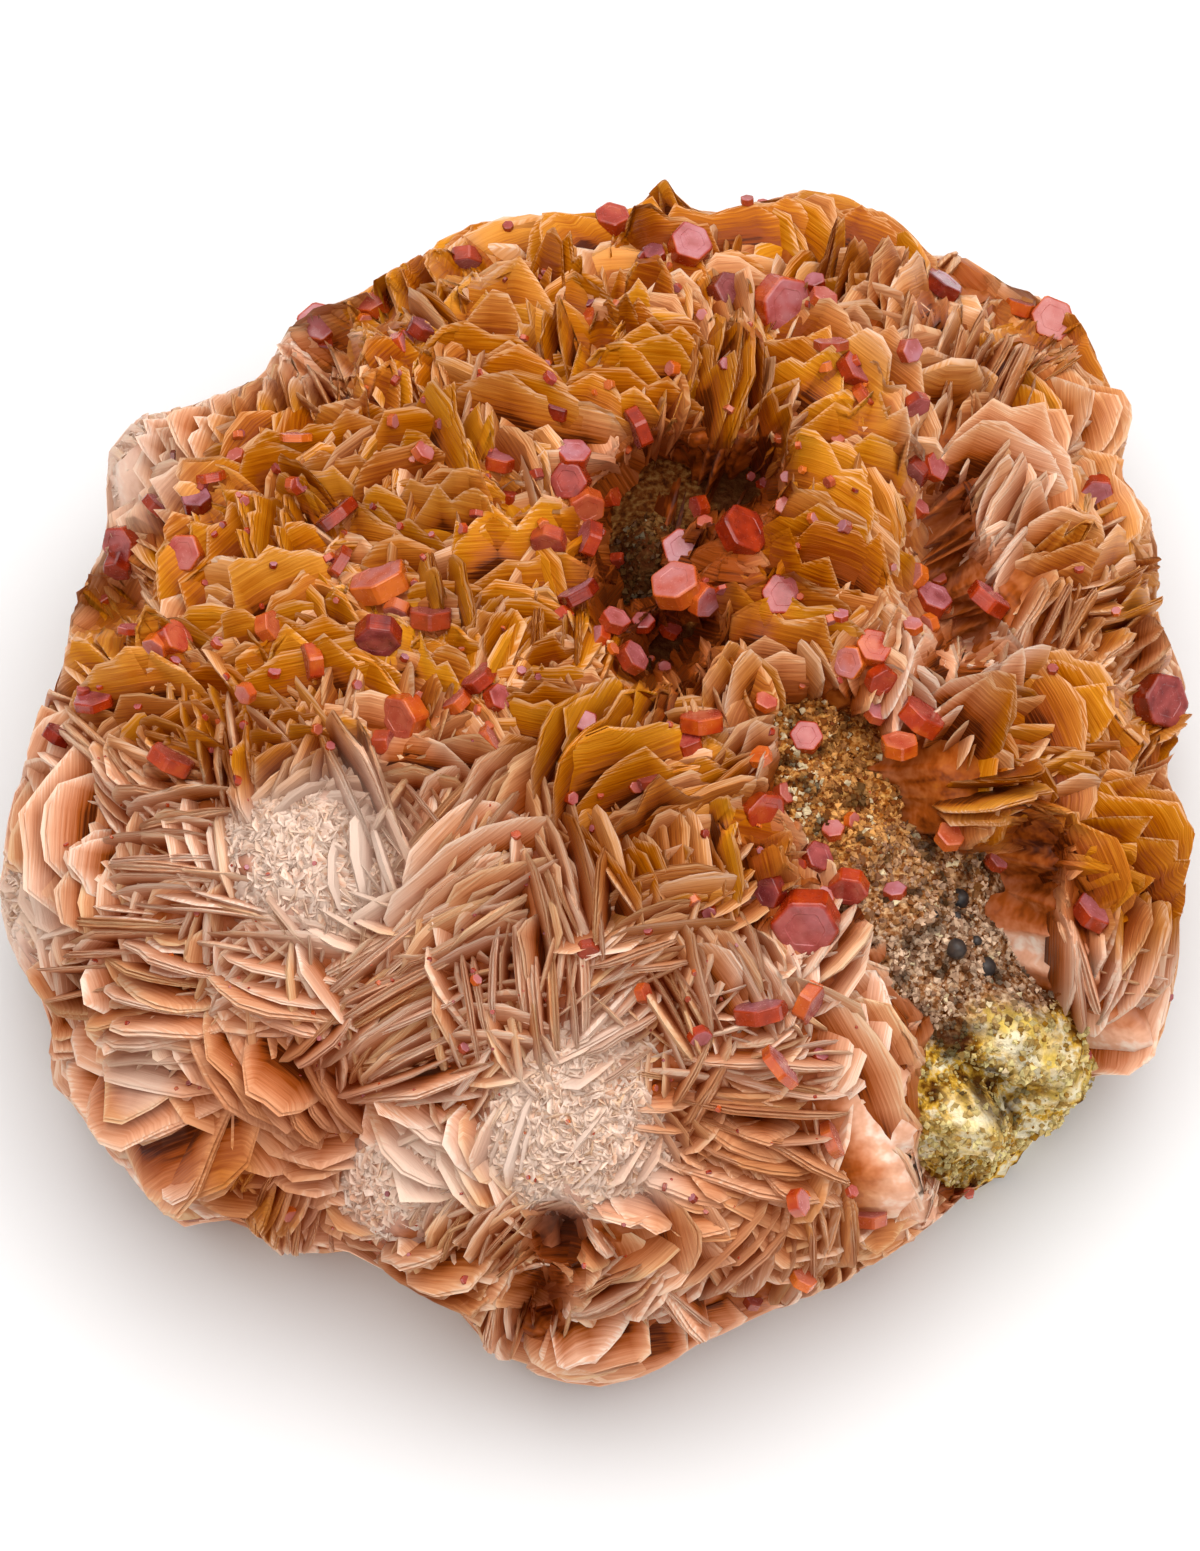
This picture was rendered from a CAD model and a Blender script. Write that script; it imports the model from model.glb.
import math

import bpy
import numpy as np
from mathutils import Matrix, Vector
from mathutils.bvhtree import BVHTree


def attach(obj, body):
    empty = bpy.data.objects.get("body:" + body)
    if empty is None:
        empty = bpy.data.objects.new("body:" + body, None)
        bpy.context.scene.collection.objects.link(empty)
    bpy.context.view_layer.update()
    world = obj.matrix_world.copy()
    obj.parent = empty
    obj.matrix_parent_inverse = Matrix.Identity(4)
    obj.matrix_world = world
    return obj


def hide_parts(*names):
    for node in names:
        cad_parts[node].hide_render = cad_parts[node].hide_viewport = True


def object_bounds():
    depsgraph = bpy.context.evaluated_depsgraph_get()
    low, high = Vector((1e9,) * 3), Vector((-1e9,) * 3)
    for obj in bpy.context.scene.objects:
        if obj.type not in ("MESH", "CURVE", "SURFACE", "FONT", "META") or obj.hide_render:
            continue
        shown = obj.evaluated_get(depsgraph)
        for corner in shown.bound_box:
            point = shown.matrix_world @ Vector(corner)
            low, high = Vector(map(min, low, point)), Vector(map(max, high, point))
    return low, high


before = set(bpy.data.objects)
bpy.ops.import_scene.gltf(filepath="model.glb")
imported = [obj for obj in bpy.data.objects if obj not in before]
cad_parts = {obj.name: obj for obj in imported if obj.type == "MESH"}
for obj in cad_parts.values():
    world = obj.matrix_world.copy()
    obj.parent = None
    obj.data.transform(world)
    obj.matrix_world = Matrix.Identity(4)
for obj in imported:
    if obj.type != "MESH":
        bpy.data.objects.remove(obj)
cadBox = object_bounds()
mm = 0.001
perMetre = 1000
cadLow = np.array(cadBox[0]) * perMetre
cadHigh = np.array(cadBox[1]) * perMetre

# the lump's form, as in the part's source; places on the show face are u (right) and v (up), in mm
lump = {
    "centre": np.array([0.7, 0.5, 12.0]),
    "topRise": 31.0,
    "underDepth": 16.0,
    "rockUnderDepth": 24.0,
    "roundness": 2.3,
    "faceTilt": math.radians(60),
    "faceRise": 1.8,
    "outlineStep": 15,
    "outline": [46.5, 47.5, 50.0, 51.0, 49.0, 47.5, 42.0, 41.5, 41.5, 40.5, 47.0, 42.5,
                47.5, 49.5, 49.5, 48.0, 41.0, 44.5, 45.5, 44.0, 44.0, 45.5, 48.0, 48.0],
    "crust": 8.5,
    "bariteBelowRock": 3.5,
    "sideFade": (-14.0, -4.0),  # heights against the show face between which its details fade in
    "patchEdge": (0.55, 1.25),  # shares of a soft patch's radius between which it fades out
    "windowEdge": (0.8, 1.15),
    "normalStep": 3.0,
    "leastFacing": 0.35,
    "insideBox": 0.02,
}
# where the rock shows: u, v, radius, depth of the rock's surface
windows = [
    (4.5, 22.5, 4.2, 9), (3, 17.5, 3.2, 12), (5.5, 10.5, 2.4, 9), (10, 24.2, 3, 8),
    (28.5, 22.5, 3.6, 6.5), (28.5, 16.5, 4.2, 6.5), (29, 11.5, 3.8, 6.5), (25.5, 4, 3.6, 6.5),
    (18, 3.5, 5.5, 4.5), (18, -3, 4.5, 4.5), (24, -4, 5.5, 5.5), (26, -10, 7, 5), (33, -10, 5, 6.5),
    (28, -17, 6.5, 4), (33, -18, 6, 4), (34.5, -25.5, 8.5, 1), (32, -30, 6.5, 1), (-3.5, -37, 1.8, 6),
    (-5, -42, 1.8, 6), (35.6, -6.2, 2.8, 6.5),
]
# swells of the crust and knobs of the rock: u, v, radius, height
swells = [
    (-24, -7, 5.5, 3.2), (-2, -28.5, 7, 3.2), (-16.5, -33, 4.5, 3), (-39, 27, 5, 1.5), (23.5, -29, 6, 3),
    (44, -22, 4.5, 2.5), (-47, -11, 4, 2), (-36, -33, 5, 2),
]
knobs = [
    (30.5, -28.5, 2.8, 2.4), (36, -22.5, 4.5, 2), (27.5, -24, 2.2, -2.4), (34, -26.5, 2.4, -2),
    (17.5, 0.5, 3, 1.6), (23, -7, 3, 1.2), (30, -13, 3.5, 1.4),
]
# where the rock is in plain view, so that no blade may cross: u, v, radius, depth
clearings = [
    (5, 24.6, 2.7, 8), (2.3, 22.3, 2.3, 9), (2.6, 18.8, 2, 10), (3.4, 16.2, 1.5, 10), (8.2, 24, 2.2, 8),
    (10.6, 24, 1.6, 9), (12.3, 24.6, 1.8, 9), (5.5, 11, 1.8, 9), (3.6, 9.6, 1.2, 9), (7.6, 12.2, 1.1, 9),
    (1.7, 14.4, 1, 9), (-3.5, -37, 1.5, 6), (-5, -42.6, 1.7, 6), (18, 3.2, 3.2, 4.5),
    (17.5, -0.5, 3.2, 4.5), (20, -3.2, 3.4, 5), (23.5, -5, 3.4, 5.5), (20.6, 1.5, 2.4, 5),
    (25.5, -8.8, 4.4, 5.5), (28.2, -11, 4.8, 6), (32.2, -9.5, 3.6, 6), (34.6, -9.2, 2.6, 6.5),
    (35.6, -5.6, 1.6, 6.5), (29, -15.2, 5, 5), (32.8, -16, 4, 5), (33.6, -20, 4.2, 5), (30.6, -21, 4, 4),
    (30, -26, 4, 3), (34, -26, 5, 2), (33, -30, 4.6, 2), (29.6, -31.4, 3.2, 2), (37.2, -25, 2.6, 2.5),
    (28.4, 22.2, 1.7, 6.5), (28.4, 19.6, 2.1, 6.5), (28.8, 16.8, 2.4, 6.5), (29.6, 14, 2.2, 6.5),
    (30.6, 12, 1.5, 6.5),
]
# the silhouette on the show face, anticlockwise
silhouette = [
    (-41.5, 27), (-41, 20), (-44, 14.5), (-44.5, 9), (-46.5, 5), (-48, 0), (-50, -10), (-49, -14),
    (-45, -20), (-45.5, -25.5), (-43, -28), (-39, -33), (-35, -37.5), (-30, -36.2), (-26, -40),
    (-20, -39), (-15, -42.2), (-11, -44), (-9, -47.8), (-5, -49.5), (0, -50.2), (4, -49.2), (8, -46.6),
    (14, -44), (21, -41), (26, -37.8), (30, -34.5), (36, -31), (38, -27.5), (41, -24.5), (43.3, -25),
    (46, -24), (47.8, -17), (48, -8), (49, -5), (46.5, 0.5), (49.8, 6), (46.5, 13), (46.8, 21),
    (43.3, 25), (45.2, 29.5), (42, 35), (39.5, 40), (34, 41.5), (30, 44.3), (28, 43.5), (24, 47.5),
    (20, 49), (17, 49.3), (9, 46.8), (6.8, 48.2), (5.5, 50.3), (3.6, 48.4), (2, 47.2), (-3, 47),
    (-6.5, 48), (-12.5, 45.7), (-17, 42.5), (-21, 40), (-25.5, 39), (-28.5, 33), (-34, 31), (-39, 30),
]

tilt = lump["faceTilt"]
axisU = np.array([1.0, 0.0, 0.0])
axisV = np.array([0.0, math.sin(tilt), math.cos(tilt)])
axisN = np.array([0.0, -math.cos(tilt), math.sin(tilt)])
faceCentre = lump["centre"] + np.array([0.0, 0.0, lump["faceRise"]])


def unit(vectors):
    # each vector over its own length
    return vectors / np.maximum(np.linalg.norm(vectors, axis=-1, keepdims=True), 1e-9)


def ease(low, high, values):
    # t from 0 at low to 1 at high, held there beyond, through the cubic 3t^2 - 2t^3
    t = np.clip((values - low) / (high - low), 0.0, 1.0)
    return t * t * (3.0 - 2.0 * t)


def between(limits, share):
    # low + share * (high - low)
    return limits[0] + share * (limits[1] - limits[0])


noiseTable = {"cells": 32, "shift": 512.0}


def softNoise(points, cell, seed):
    # -1 to 1: random values at the corners of cubes of side cell, blended across each by the same cubic
    size = noiseTable["cells"]
    table = np.random.default_rng(seed).uniform(-1.0, 1.0, (size, size, size))
    place = points / cell + noiseTable["shift"]
    corner = np.floor(place).astype(int)
    part = place - corner
    part = part * part * (3.0 - 2.0 * part)
    total = np.zeros(points.shape[:-1])
    for steps in np.ndindex(2, 2, 2):
        weight = 1.0
        for axis, step in enumerate(steps):
            weight = weight * (part[..., axis] if step else 1.0 - part[..., axis])
        found = table[tuple((corner[..., axis] + step) % size for axis, step in enumerate(steps))]
        total = total + weight * found
    return total


def roughNoise(points, cell, seed, octaves=3):
    # softNoise at halving cells, each octave half as strong
    return sum(softNoise(points, cell / 2**k, seed + k) / 2**k for k in range(octaves))


def outlineRadius(bearing):
    # the outline's radii, read in a straight line between its marks, at bearings in degrees
    around = np.arange(len(lump["outline"]) + 1) * lump["outlineStep"]
    return np.interp(bearing, around, lump["outline"] + lump["outline"][:1])


def baseRadius(directions, under):
    # superellipse: (level / plan radius)^p + (height / rise)^p = 1, the plan radius read round the outline
    across, back, up = directions[..., 0], directions[..., 1], directions[..., 2]
    level = np.hypot(across, back) + 1e-9
    bearing = np.degrees(np.arctan2(back * math.sin(tilt), across)) % 360.0
    radius = outlineRadius(bearing)
    beta = np.radians(bearing)
    plan = np.hypot(radius * np.cos(beta), radius * np.sin(beta) / math.sin(tilt))
    rise = np.where(up > 0.0, lump["topRise"], under)
    section = (level / plan) ** lump["roundness"] + (np.abs(up) / rise) ** lump["roundness"]
    return section ** (-1.0 / lump["roundness"])


def reachDown(directions, height):
    # how far each downward direction goes to fall by height
    return height / np.maximum(-directions[:, 2], 1e-6)


def faceCoordinates(points):
    # u, v and height above the show face, by dot products with its axes
    offset = points - faceCentre
    return offset @ axisU, offset @ axisV, offset @ axisN


def inFront(w):
    # 1 on the show face, falling to 0 round the sides
    return ease(*lump["sideFade"], w)


def domes(features, u, v):
    # sum of height * exp(-(distance / radius)^2.8)
    return sum(height * np.exp(-(((u - a) ** 2 + (v - b) ** 2) / radius**2) ** 1.4)
               for a, b, radius, height in features)


def blobs(features, u, v):
    # the strongest of soft round patches (u, v, radius, strength) at each place
    found = np.zeros_like(u)
    for a, b, radius, strength in features:
        covered = 1.0 - ease(*lump["patchEdge"], np.hypot(u - a, v - b) / radius)
        found = np.maximum(found, strength * covered)
    return found


def windowDepth(u, v):
    # how open the crust is, and the rock's depth there, weighted by each window's own mask
    masks = np.array([1.0 - ease(*lump["windowEdge"], np.hypot(u - a, v - b) / radius)
                      for a, b, radius, _ in windows])
    depths = np.array([window[3] for window in windows]).reshape((-1,) + (1,) * u.ndim)
    weight = (masks + 1e-6) ** 2
    return masks.max(axis=0), (weight * depths).sum(axis=0) / weight.sum(axis=0)


# heights along the normal, and how far and how fast places past the lump's edge move in
march = {"from": 60.0, "to": -50.0, "step": 0.4, "narrowest": 0.55, "narrowing": 0.01}


def facePoints(u, v):
    # marches along the show face's normal to the plain lump; where it misses, (u, v) moves in step by step
    along = np.arange(march["from"], march["to"], -march["step"])
    found = np.full((len(u), 3), np.nan)
    for share in np.arange(1.0, march["narrowest"], -march["narrowing"]):
        left = np.isnan(found[:, 0])
        if not left.any():
            break
        start = faceCentre + share * (u[left, None] * axisU + v[left, None] * axisV)
        line = start[:, None, :] + along[None, :, None] * axisN
        reach = line - lump["centre"]
        distance = np.linalg.norm(reach, axis=2)
        inside = distance < baseRadius(reach / distance[..., None], lump["underDepth"])
        hit = inside.any(axis=1)
        places = line[np.arange(len(line)), inside.argmax(axis=1)]
        found[np.flatnonzero(left)[hit]] = places[hit]
    return found


def lumpNormals(points):
    # gradient of the distance outside the plain lump, over steps of normalStep each way
    gradient = []
    for axis in np.eye(3):
        outside = []
        for step in (lump["normalStep"], -lump["normalStep"]):
            reach = points + step * axis - lump["centre"]
            distance = np.linalg.norm(reach, axis=-1)
            outside.append(distance - baseRadius(reach / distance[..., None], lump["underDepth"]))
        gradient.append(outside[0] - outside[1])
    return unit(np.stack(gradient, axis=-1))


def stackFrames(points, direction, lean):
    # edge lies in the surface, along direction as seen on the show face; outward leans sideways from normal
    normal = lumpNormals(points)
    angle = np.radians(direction)[:, None]
    edge = np.cos(angle) * axisU + np.sin(angle) * axisV
    facing = np.maximum(normal @ axisN, lump["leastFacing"])[:, None]
    edge = unit(edge - axisN * (edge * normal).sum(axis=1, keepdims=True) / facing)
    edge = unit(edge - normal * (edge * normal).sum(axis=1, keepdims=True))
    across = np.cross(normal, edge)
    leaning = np.radians(lean)[:, None]
    return edge, across, np.cos(leaning) * normal + np.sin(leaning) * across


def newPiece(name, points, faces, material, smooth, attributes=None, replaced=(), slot=None, ribs=0):
    # points in mm; faces as an index array with one width, or several such arrays; where ribs is given,
    # edges between points that many places apart stay sharp
    groups = faces if isinstance(faces, list) else [faces]
    mesh = bpy.data.meshes.new(name)
    mesh.vertices.add(len(points))
    mesh.vertices.foreach_set("co", (points * mm).astype(np.float32).ravel())
    corners = np.concatenate([group.ravel() for group in groups]).astype(np.int32)
    widths = np.concatenate([np.full(len(group), group.shape[1]) for group in groups])
    starts = np.concatenate([[0], np.cumsum(widths)[:-1]]).astype(np.int32)
    mesh.loops.add(len(corners))
    mesh.loops.foreach_set("vertex_index", corners)
    mesh.polygons.add(len(widths))
    mesh.polygons.foreach_set("loop_start", starts)
    mesh.polygons.foreach_set("use_smooth", np.full(len(widths), smooth))
    for key, values in (attributes or {}).items():
        kind, field = ("FLOAT_COLOR", "color") if values.shape[1] == 4 else ("FLOAT_VECTOR", "vector")
        layer = mesh.attributes.new(key, kind, "POINT")
        layer.data.foreach_set(field, values.astype(np.float32).ravel())
    mesh.update(calc_edges=True)
    mesh.validate()
    if ribs:
        ends = np.zeros(len(mesh.edges) * 2, np.int32)
        mesh.edges.foreach_get("vertices", ends)
        apart = np.abs(ends[0::2] - ends[1::2])
        mesh.attributes.new("sharp_edge", "BOOLEAN", "EDGE").data.foreach_set("value", apart == ribs)
    mesh.materials.append(material)
    piece = bpy.data.objects.new(name, mesh)
    bpy.context.scene.collection.objects.link(piece)
    if slot:
        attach(piece, "root")
        if replaced:
            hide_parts(*replaced)
    print("made", name, len(points), "points")
    return piece


def roundGrid(rows, columns):
    # unit directions on rings round the upright axis, one point at each pole, and the faces between them
    polar = np.linspace(0.0, math.pi, rows + 1)[1:-1]
    turn = np.arange(columns) * 2.0 * math.pi / columns
    ring = np.stack([np.outer(np.sin(polar), np.cos(turn)), np.outer(np.sin(polar), np.sin(turn)),
                     np.outer(np.cos(polar), np.ones(columns))], axis=-1).reshape(-1, 3)
    directions = np.concatenate([ring, [[0.0, 0.0, 1.0], [0.0, 0.0, -1.0]]])
    index = np.arange(len(ring)).reshape(len(polar), columns)
    after = np.roll(index, -1, axis=1)
    quads = np.stack([index[:-1], index[1:], after[1:], after[:-1]], axis=-1).reshape(-1, 4)
    top = np.stack([np.full(columns, len(ring)), index[0], after[0]], axis=-1)
    bottom = np.stack([np.full(columns, len(ring) + 1), after[-1], index[-1]], axis=-1)
    return directions, [quads, np.concatenate([top, bottom])]


def node(tree, kind, **values):
    # a new node with its properties set
    made = tree.nodes.new(kind)
    for key, value in values.items():
        setattr(made, key, value)
    return made


def link(tree, source, target):
    # an output into an input
    tree.links.new(source, target)


def feed(tree, socket, value):
    # a number, a colour or another node's output into an input
    if isinstance(value, (int, float)):
        socket.default_value = value
    elif isinstance(value, tuple):
        socket.default_value = (*value, 1.0)
    else:
        link(tree, value, socket)


def ramp(tree, source, stops):
    # maps a value onto the given (place, colour) stops, in straight lines between them
    made = node(tree, "ShaderNodeValToRGB")
    elements = made.color_ramp.elements
    while len(elements) < len(stops):
        elements.new(0.5)
    for element, (place, colour) in zip(elements, stops):
        element.position = place
        element.color = (*colour, 1.0)
    link(tree, source, made.inputs["Fac"])
    return made.outputs["Color"]


def span(tree, source, fromLow, fromHigh, toLow=0.0, toHigh=1.0):
    # maps fromLow..fromHigh onto toLow..toHigh in a straight line, held at its ends
    made = node(tree, "ShaderNodeMapRange")
    limits = {"From Min": fromLow, "From Max": fromHigh, "To Min": toLow, "To Max": toHigh}
    for key, value in limits.items():
        made.inputs[key].default_value = value
    link(tree, source, made.inputs["Value"])
    return made.outputs["Result"]


def calc(tree, operation, first, second):
    # one sum or product of two values
    made = node(tree, "ShaderNodeMath", operation=operation)
    feed(tree, made.inputs[0], first)
    feed(tree, made.inputs[1], second)
    return made.outputs["Value"]


def mixColour(tree, factor, first, second, blend="MIX"):
    # first * (1 - factor) + second * factor, or first * second where blend is MULTIPLY
    made = node(tree, "ShaderNodeMix", data_type="RGBA", blend_type=blend)
    for socket, value in ((0, factor), (6, first), (7, second)):
        feed(tree, made.inputs[socket], value)
    return made.outputs[2]


def noise(tree, vector, scale, detail, roughness=0.55, stretch=None):
    # over a vector's first two parts, stretched first where stretch is given
    made = node(tree, "ShaderNodeTexNoise", noise_dimensions="2D")
    made.inputs["Scale"].default_value = scale
    made.inputs["Detail"].default_value = detail
    made.inputs["Roughness"].default_value = roughness
    if stretch:
        mapping = node(tree, "ShaderNodeMapping")
        mapping.inputs["Scale"].default_value = stretch
        link(tree, vector, mapping.inputs["Vector"])
        vector = mapping.outputs["Vector"]
    link(tree, vector, made.inputs["Vector"])
    return made.outputs["Fac"]


def attributeVector(tree, name):
    # a mesh attribute's three values as one vector
    return node(tree, "ShaderNodeAttribute", attribute_name=name).outputs["Vector"]


def attributeShares(tree, name):
    # a mesh attribute's four values: red, green, blue and alpha
    made = node(tree, "ShaderNodeAttribute", attribute_name=name)
    parts = node(tree, "ShaderNodeSeparateColor")
    link(tree, made.outputs["Color"], parts.inputs["Color"])
    return (*(parts.outputs[key] for key in ("Red", "Green", "Blue")), made.outputs["Alpha"])


def startMaterial(name):
    # a new material, its tree and its surface shader
    material = bpy.data.materials.new(name)
    material.use_nodes = True
    tree = material.node_tree
    return material, tree, tree.nodes["Principled BSDF"]


def makeSpeckleGroup():
    # mottling and fine grain shared by every mineral: two noises of the object's own coordinates
    group = bpy.data.node_groups.new("mineralSpeckle", "ShaderNodeTree")
    for key, way in (("Coarse", "INPUT"), ("Fine", "INPUT"), ("Mottle", "OUTPUT"), ("Grain", "OUTPUT")):
        group.interface.new_socket(key, in_out=way, socket_type="NodeSocketFloat")
    enter, leave = node(group, "NodeGroupInput"), node(group, "NodeGroupOutput")
    place = node(group, "ShaderNodeTexCoord").outputs["Object"]
    for key, source, detail in (("Mottle", "Coarse", 2.0), ("Grain", "Fine", 3.0)):
        made = node(group, "ShaderNodeTexNoise")
        made.inputs["Detail"].default_value = detail
        link(group, place, made.inputs["Vector"])
        link(group, enter.outputs[source], made.inputs["Scale"])
        link(group, made.outputs["Fac"], leave.inputs[key])
    return group


speckleGroup = makeSpeckleGroup()


def speckle(tree, scales):
    # the group's mottling and grain at two scales
    made = node(tree, "ShaderNodeGroup", node_tree=speckleGroup)
    made.inputs["Coarse"].default_value, made.inputs["Fine"].default_value = scales
    return made.outputs["Mottle"], made.outputs["Grain"]


def bump(tree, shader, height, strength, distance):
    # a height turned into the surface's normal
    made = node(tree, "ShaderNodeBump")
    made.inputs["Strength"].default_value = strength
    made.inputs["Distance"].default_value = distance
    link(tree, height, made.inputs["Height"])
    link(tree, made.outputs["Normal"], shader.inputs["Normal"])


# the share of its own colour that a surface gives back to light from its neighbours
glow = {"share": 0.34}


def colourAndGlow(material, tree, shader, colour):
    # rays a matt surface has already scattered meet colour * share as plain light and end there
    path = node(tree, "ShaderNodeLightPath").outputs["Is Diffuse Ray"]
    link(tree, mixColour(tree, path, colour, (0.0, 0.0, 0.0)), shader.inputs["Base Color"])
    link(tree, colour, shader.inputs["Emission Color"])
    link(tree, calc(tree, "MULTIPLY", path, glow["share"]), shader.inputs["Emission Strength"])
    material.cycles.emission_sampling = "NONE"


# colour stops as (place, colour): pale runs from foot to rim, tint with the tone, ochre from deep to pale;
# roughness, here and below, is two values of a noise and the roughness at each
bariteLook = {
    "pale": [(0.0, (0.10, 0.018, 0.002)), (0.18, (0.38, 0.085, 0.010)), (0.5, (0.64, 0.24, 0.115)),
             (0.84, (0.88, 0.48, 0.315)), (1.0, (0.98, 0.76, 0.62))],
    "tint": [(0.1, (0.84, 0.68, 0.46)), (0.5, (0.93, 0.85, 0.77)), (0.9, (1.0, 1.0, 1.0))],
    "ochre": [(0.22, (0.26, 0.042, 0.0)), (0.5, (0.50, 0.13, 0.0)), (0.85, (0.76, 0.29, 0.012))],
    "white": (0.88, 0.66, 0.54),
    "streaks": (0.16, 4.2),  # how fine the streaks are along a blade and across it
    "streakNoise": (1.0, 2.0, 0.6),  # scale, detail and roughness
    "wander": 0.5,
    "ochreStreaks": 0.6,
    "ochreShift": 0.32,
    "stainAtFoot": (0.02, 0.38),
    "stainAtRim": (0.88, 1.06, 1.0, 0.5),
    "whiteAtRim": (0.1, 0.7, 0.5, 1.0),
    "roughness": (0.3, 0.7, 0.28, 0.50),
    "specular": 0.12,
    "bump": (0.35, 0.0002),
}


def bariteMaterial():
    # colour from foot to rim, then ochre stain near the rims, then white where the crystals are broken
    material, tree, shader = startMaterial("barite")
    rim, stain, tone, white = attributeShares(tree, "look")
    grain = attributeVector(tree, "grain")
    streaks = noise(tree, grain, *bariteLook["streakNoise"], (*bariteLook["streaks"], 1.0))
    uneven = calc(tree, "MULTIPLY", calc(tree, "SUBTRACT", streaks, 0.5), bariteLook["wander"])
    wander = calc(tree, "ADD", rim, uneven)
    pale = ramp(tree, wander, bariteLook["pale"])
    toned = mixColour(tree, 1.0, pale, ramp(tree, tone, bariteLook["tint"]), "MULTIPLY")
    height = calc(tree, "MULTIPLY", calc(tree, "ADD", rim, tone), 0.5)
    depth = calc(tree, "ADD", calc(tree, "MULTIPLY", streaks, bariteLook["ochreStreaks"]),
                 calc(tree, "SUBTRACT", height, bariteLook["ochreShift"]))
    covered = calc(tree, "MULTIPLY", span(tree, wander, *bariteLook["stainAtFoot"]),
                   span(tree, wander, *bariteLook["stainAtRim"]))
    stained = mixColour(tree, calc(tree, "MULTIPLY", covered, stain), toned,
                        ramp(tree, depth, bariteLook["ochre"]))
    whitened = calc(tree, "MULTIPLY", white, span(tree, wander, *bariteLook["whiteAtRim"]))
    colourAndGlow(material, tree, shader, mixColour(tree, whitened, stained, bariteLook["white"]))
    link(tree, span(tree, streaks, *bariteLook["roughness"]), shader.inputs["Roughness"])
    shader.inputs["Specular IOR Level"].default_value = bariteLook["specular"]
    bump(tree, shader, streaks, *bariteLook["bump"])
    return material


rockDark = (0.05, 0.011, 0.002)
rockLook = {
    "speckle": (420.0, 1900.0),
    "rust": [(0.32, rockDark), (0.47, (0.36, 0.10, 0.010)), (0.68, (0.84, 0.44, 0.12))],
    "plum": [(0.34, rockDark), (0.48, (0.29, 0.11, 0.035)), (0.70, (0.80, 0.56, 0.36))],
    "olive": [(0.38, rockDark), (0.45, (0.26, 0.10, 0.004)), (0.52, (0.86, 0.50, 0.055)),
              (0.59, (1.0, 0.88, 0.60))],
    "oliveMottle": 0.72,
    "oliveGrain": 0.28,
    "ledge": [(0.40, (1.0, 0.70, 0.15)), (0.56, (1.0, 0.88, 0.60))],
    "roughness": (0.3, 0.7, 0.95, 0.6),
    "specular": 0.07,
    "bump": (0.9, 0.0005),
}


def rockMaterial():
    # rust, plum and olive ground by the zone attribute, mottled and grained, with ledges and dark pits
    material, tree, shader = startMaterial("matrixRock")
    yellow, plum, olive, dark = attributeShares(tree, "zone")
    mottle, fine = speckle(tree, rockLook["speckle"])
    mixed = calc(tree, "ADD", calc(tree, "MULTIPLY", mottle, rockLook["oliveMottle"]),
                 calc(tree, "MULTIPLY", fine, rockLook["oliveGrain"]))
    ground = mixColour(tree, plum, ramp(tree, fine, rockLook["rust"]), ramp(tree, fine, rockLook["plum"]))
    ground = mixColour(tree, olive, ground, ramp(tree, mixed, rockLook["olive"]))
    ground = mixColour(tree, yellow, ground, ramp(tree, mottle, rockLook["ledge"]))
    ground = mixColour(tree, dark, ground, rockDark)
    colourAndGlow(material, tree, shader, ground)
    link(tree, span(tree, fine, *rockLook["roughness"]), shader.inputs["Roughness"])
    shader.inputs["Specular IOR Level"].default_value = rockLook["specular"]
    bump(tree, shader, calc(tree, "ADD", fine, mottle), *rockLook["bump"])
    return material


grainLook = {
    "speckle": (300.0, 2600.0),
    "shade": (0.12, 0.05, 0.015),
    "shading": (0.35, 0.65, 0.0, 0.4),
    "roughness": (0.3, 0.7, 0.25, 0.55),
    "specular": 0.07,
}


def grainMaterial():
    # druzy grains: each grain's own colour attribute, darkened a little by a fine noise
    material, tree, shader = startMaterial("rockGrains")
    tint = node(tree, "ShaderNodeAttribute", attribute_name="tint").outputs["Color"]
    _, fine = speckle(tree, grainLook["speckle"])
    shaded = mixColour(tree, span(tree, fine, *grainLook["shading"]), tint, grainLook["shade"])
    colourAndGlow(material, tree, shader, shaded)
    link(tree, span(tree, fine, *grainLook["roughness"]), shader.inputs["Roughness"])
    shader.inputs["Specular IOR Level"].default_value = grainLook["specular"]
    return material


vanadiniteLook = {
    "speckle": (700.0, 3200.0),
    "red": [(0.12, (0.16, 0.006, 0.002)), (0.5, (0.46, 0.036, 0.003)), (0.95, (0.74, 0.16, 0.012))],
    "toneShare": 0.75,
    "mottleMiddle": 0.35,
    "mottleShare": 0.8,
    "dust": (0.45, 0.14, 0.07),
    "bloom": (0.50, 0.22, 0.27),
    "bloomMottle": (0.3, 0.65, 0.3, 0.9),
    "lines": (0.3, 6.0, 1.0),
    "lineNoise": (1.0, 2.0, 0.5),
    "roughness": (0.35, 0.65, 0.12, 0.29),
    "refraction": 1.62,
    "fineBump": 0.25,
    "bump": (0.16, 0.00012),
}


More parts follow.
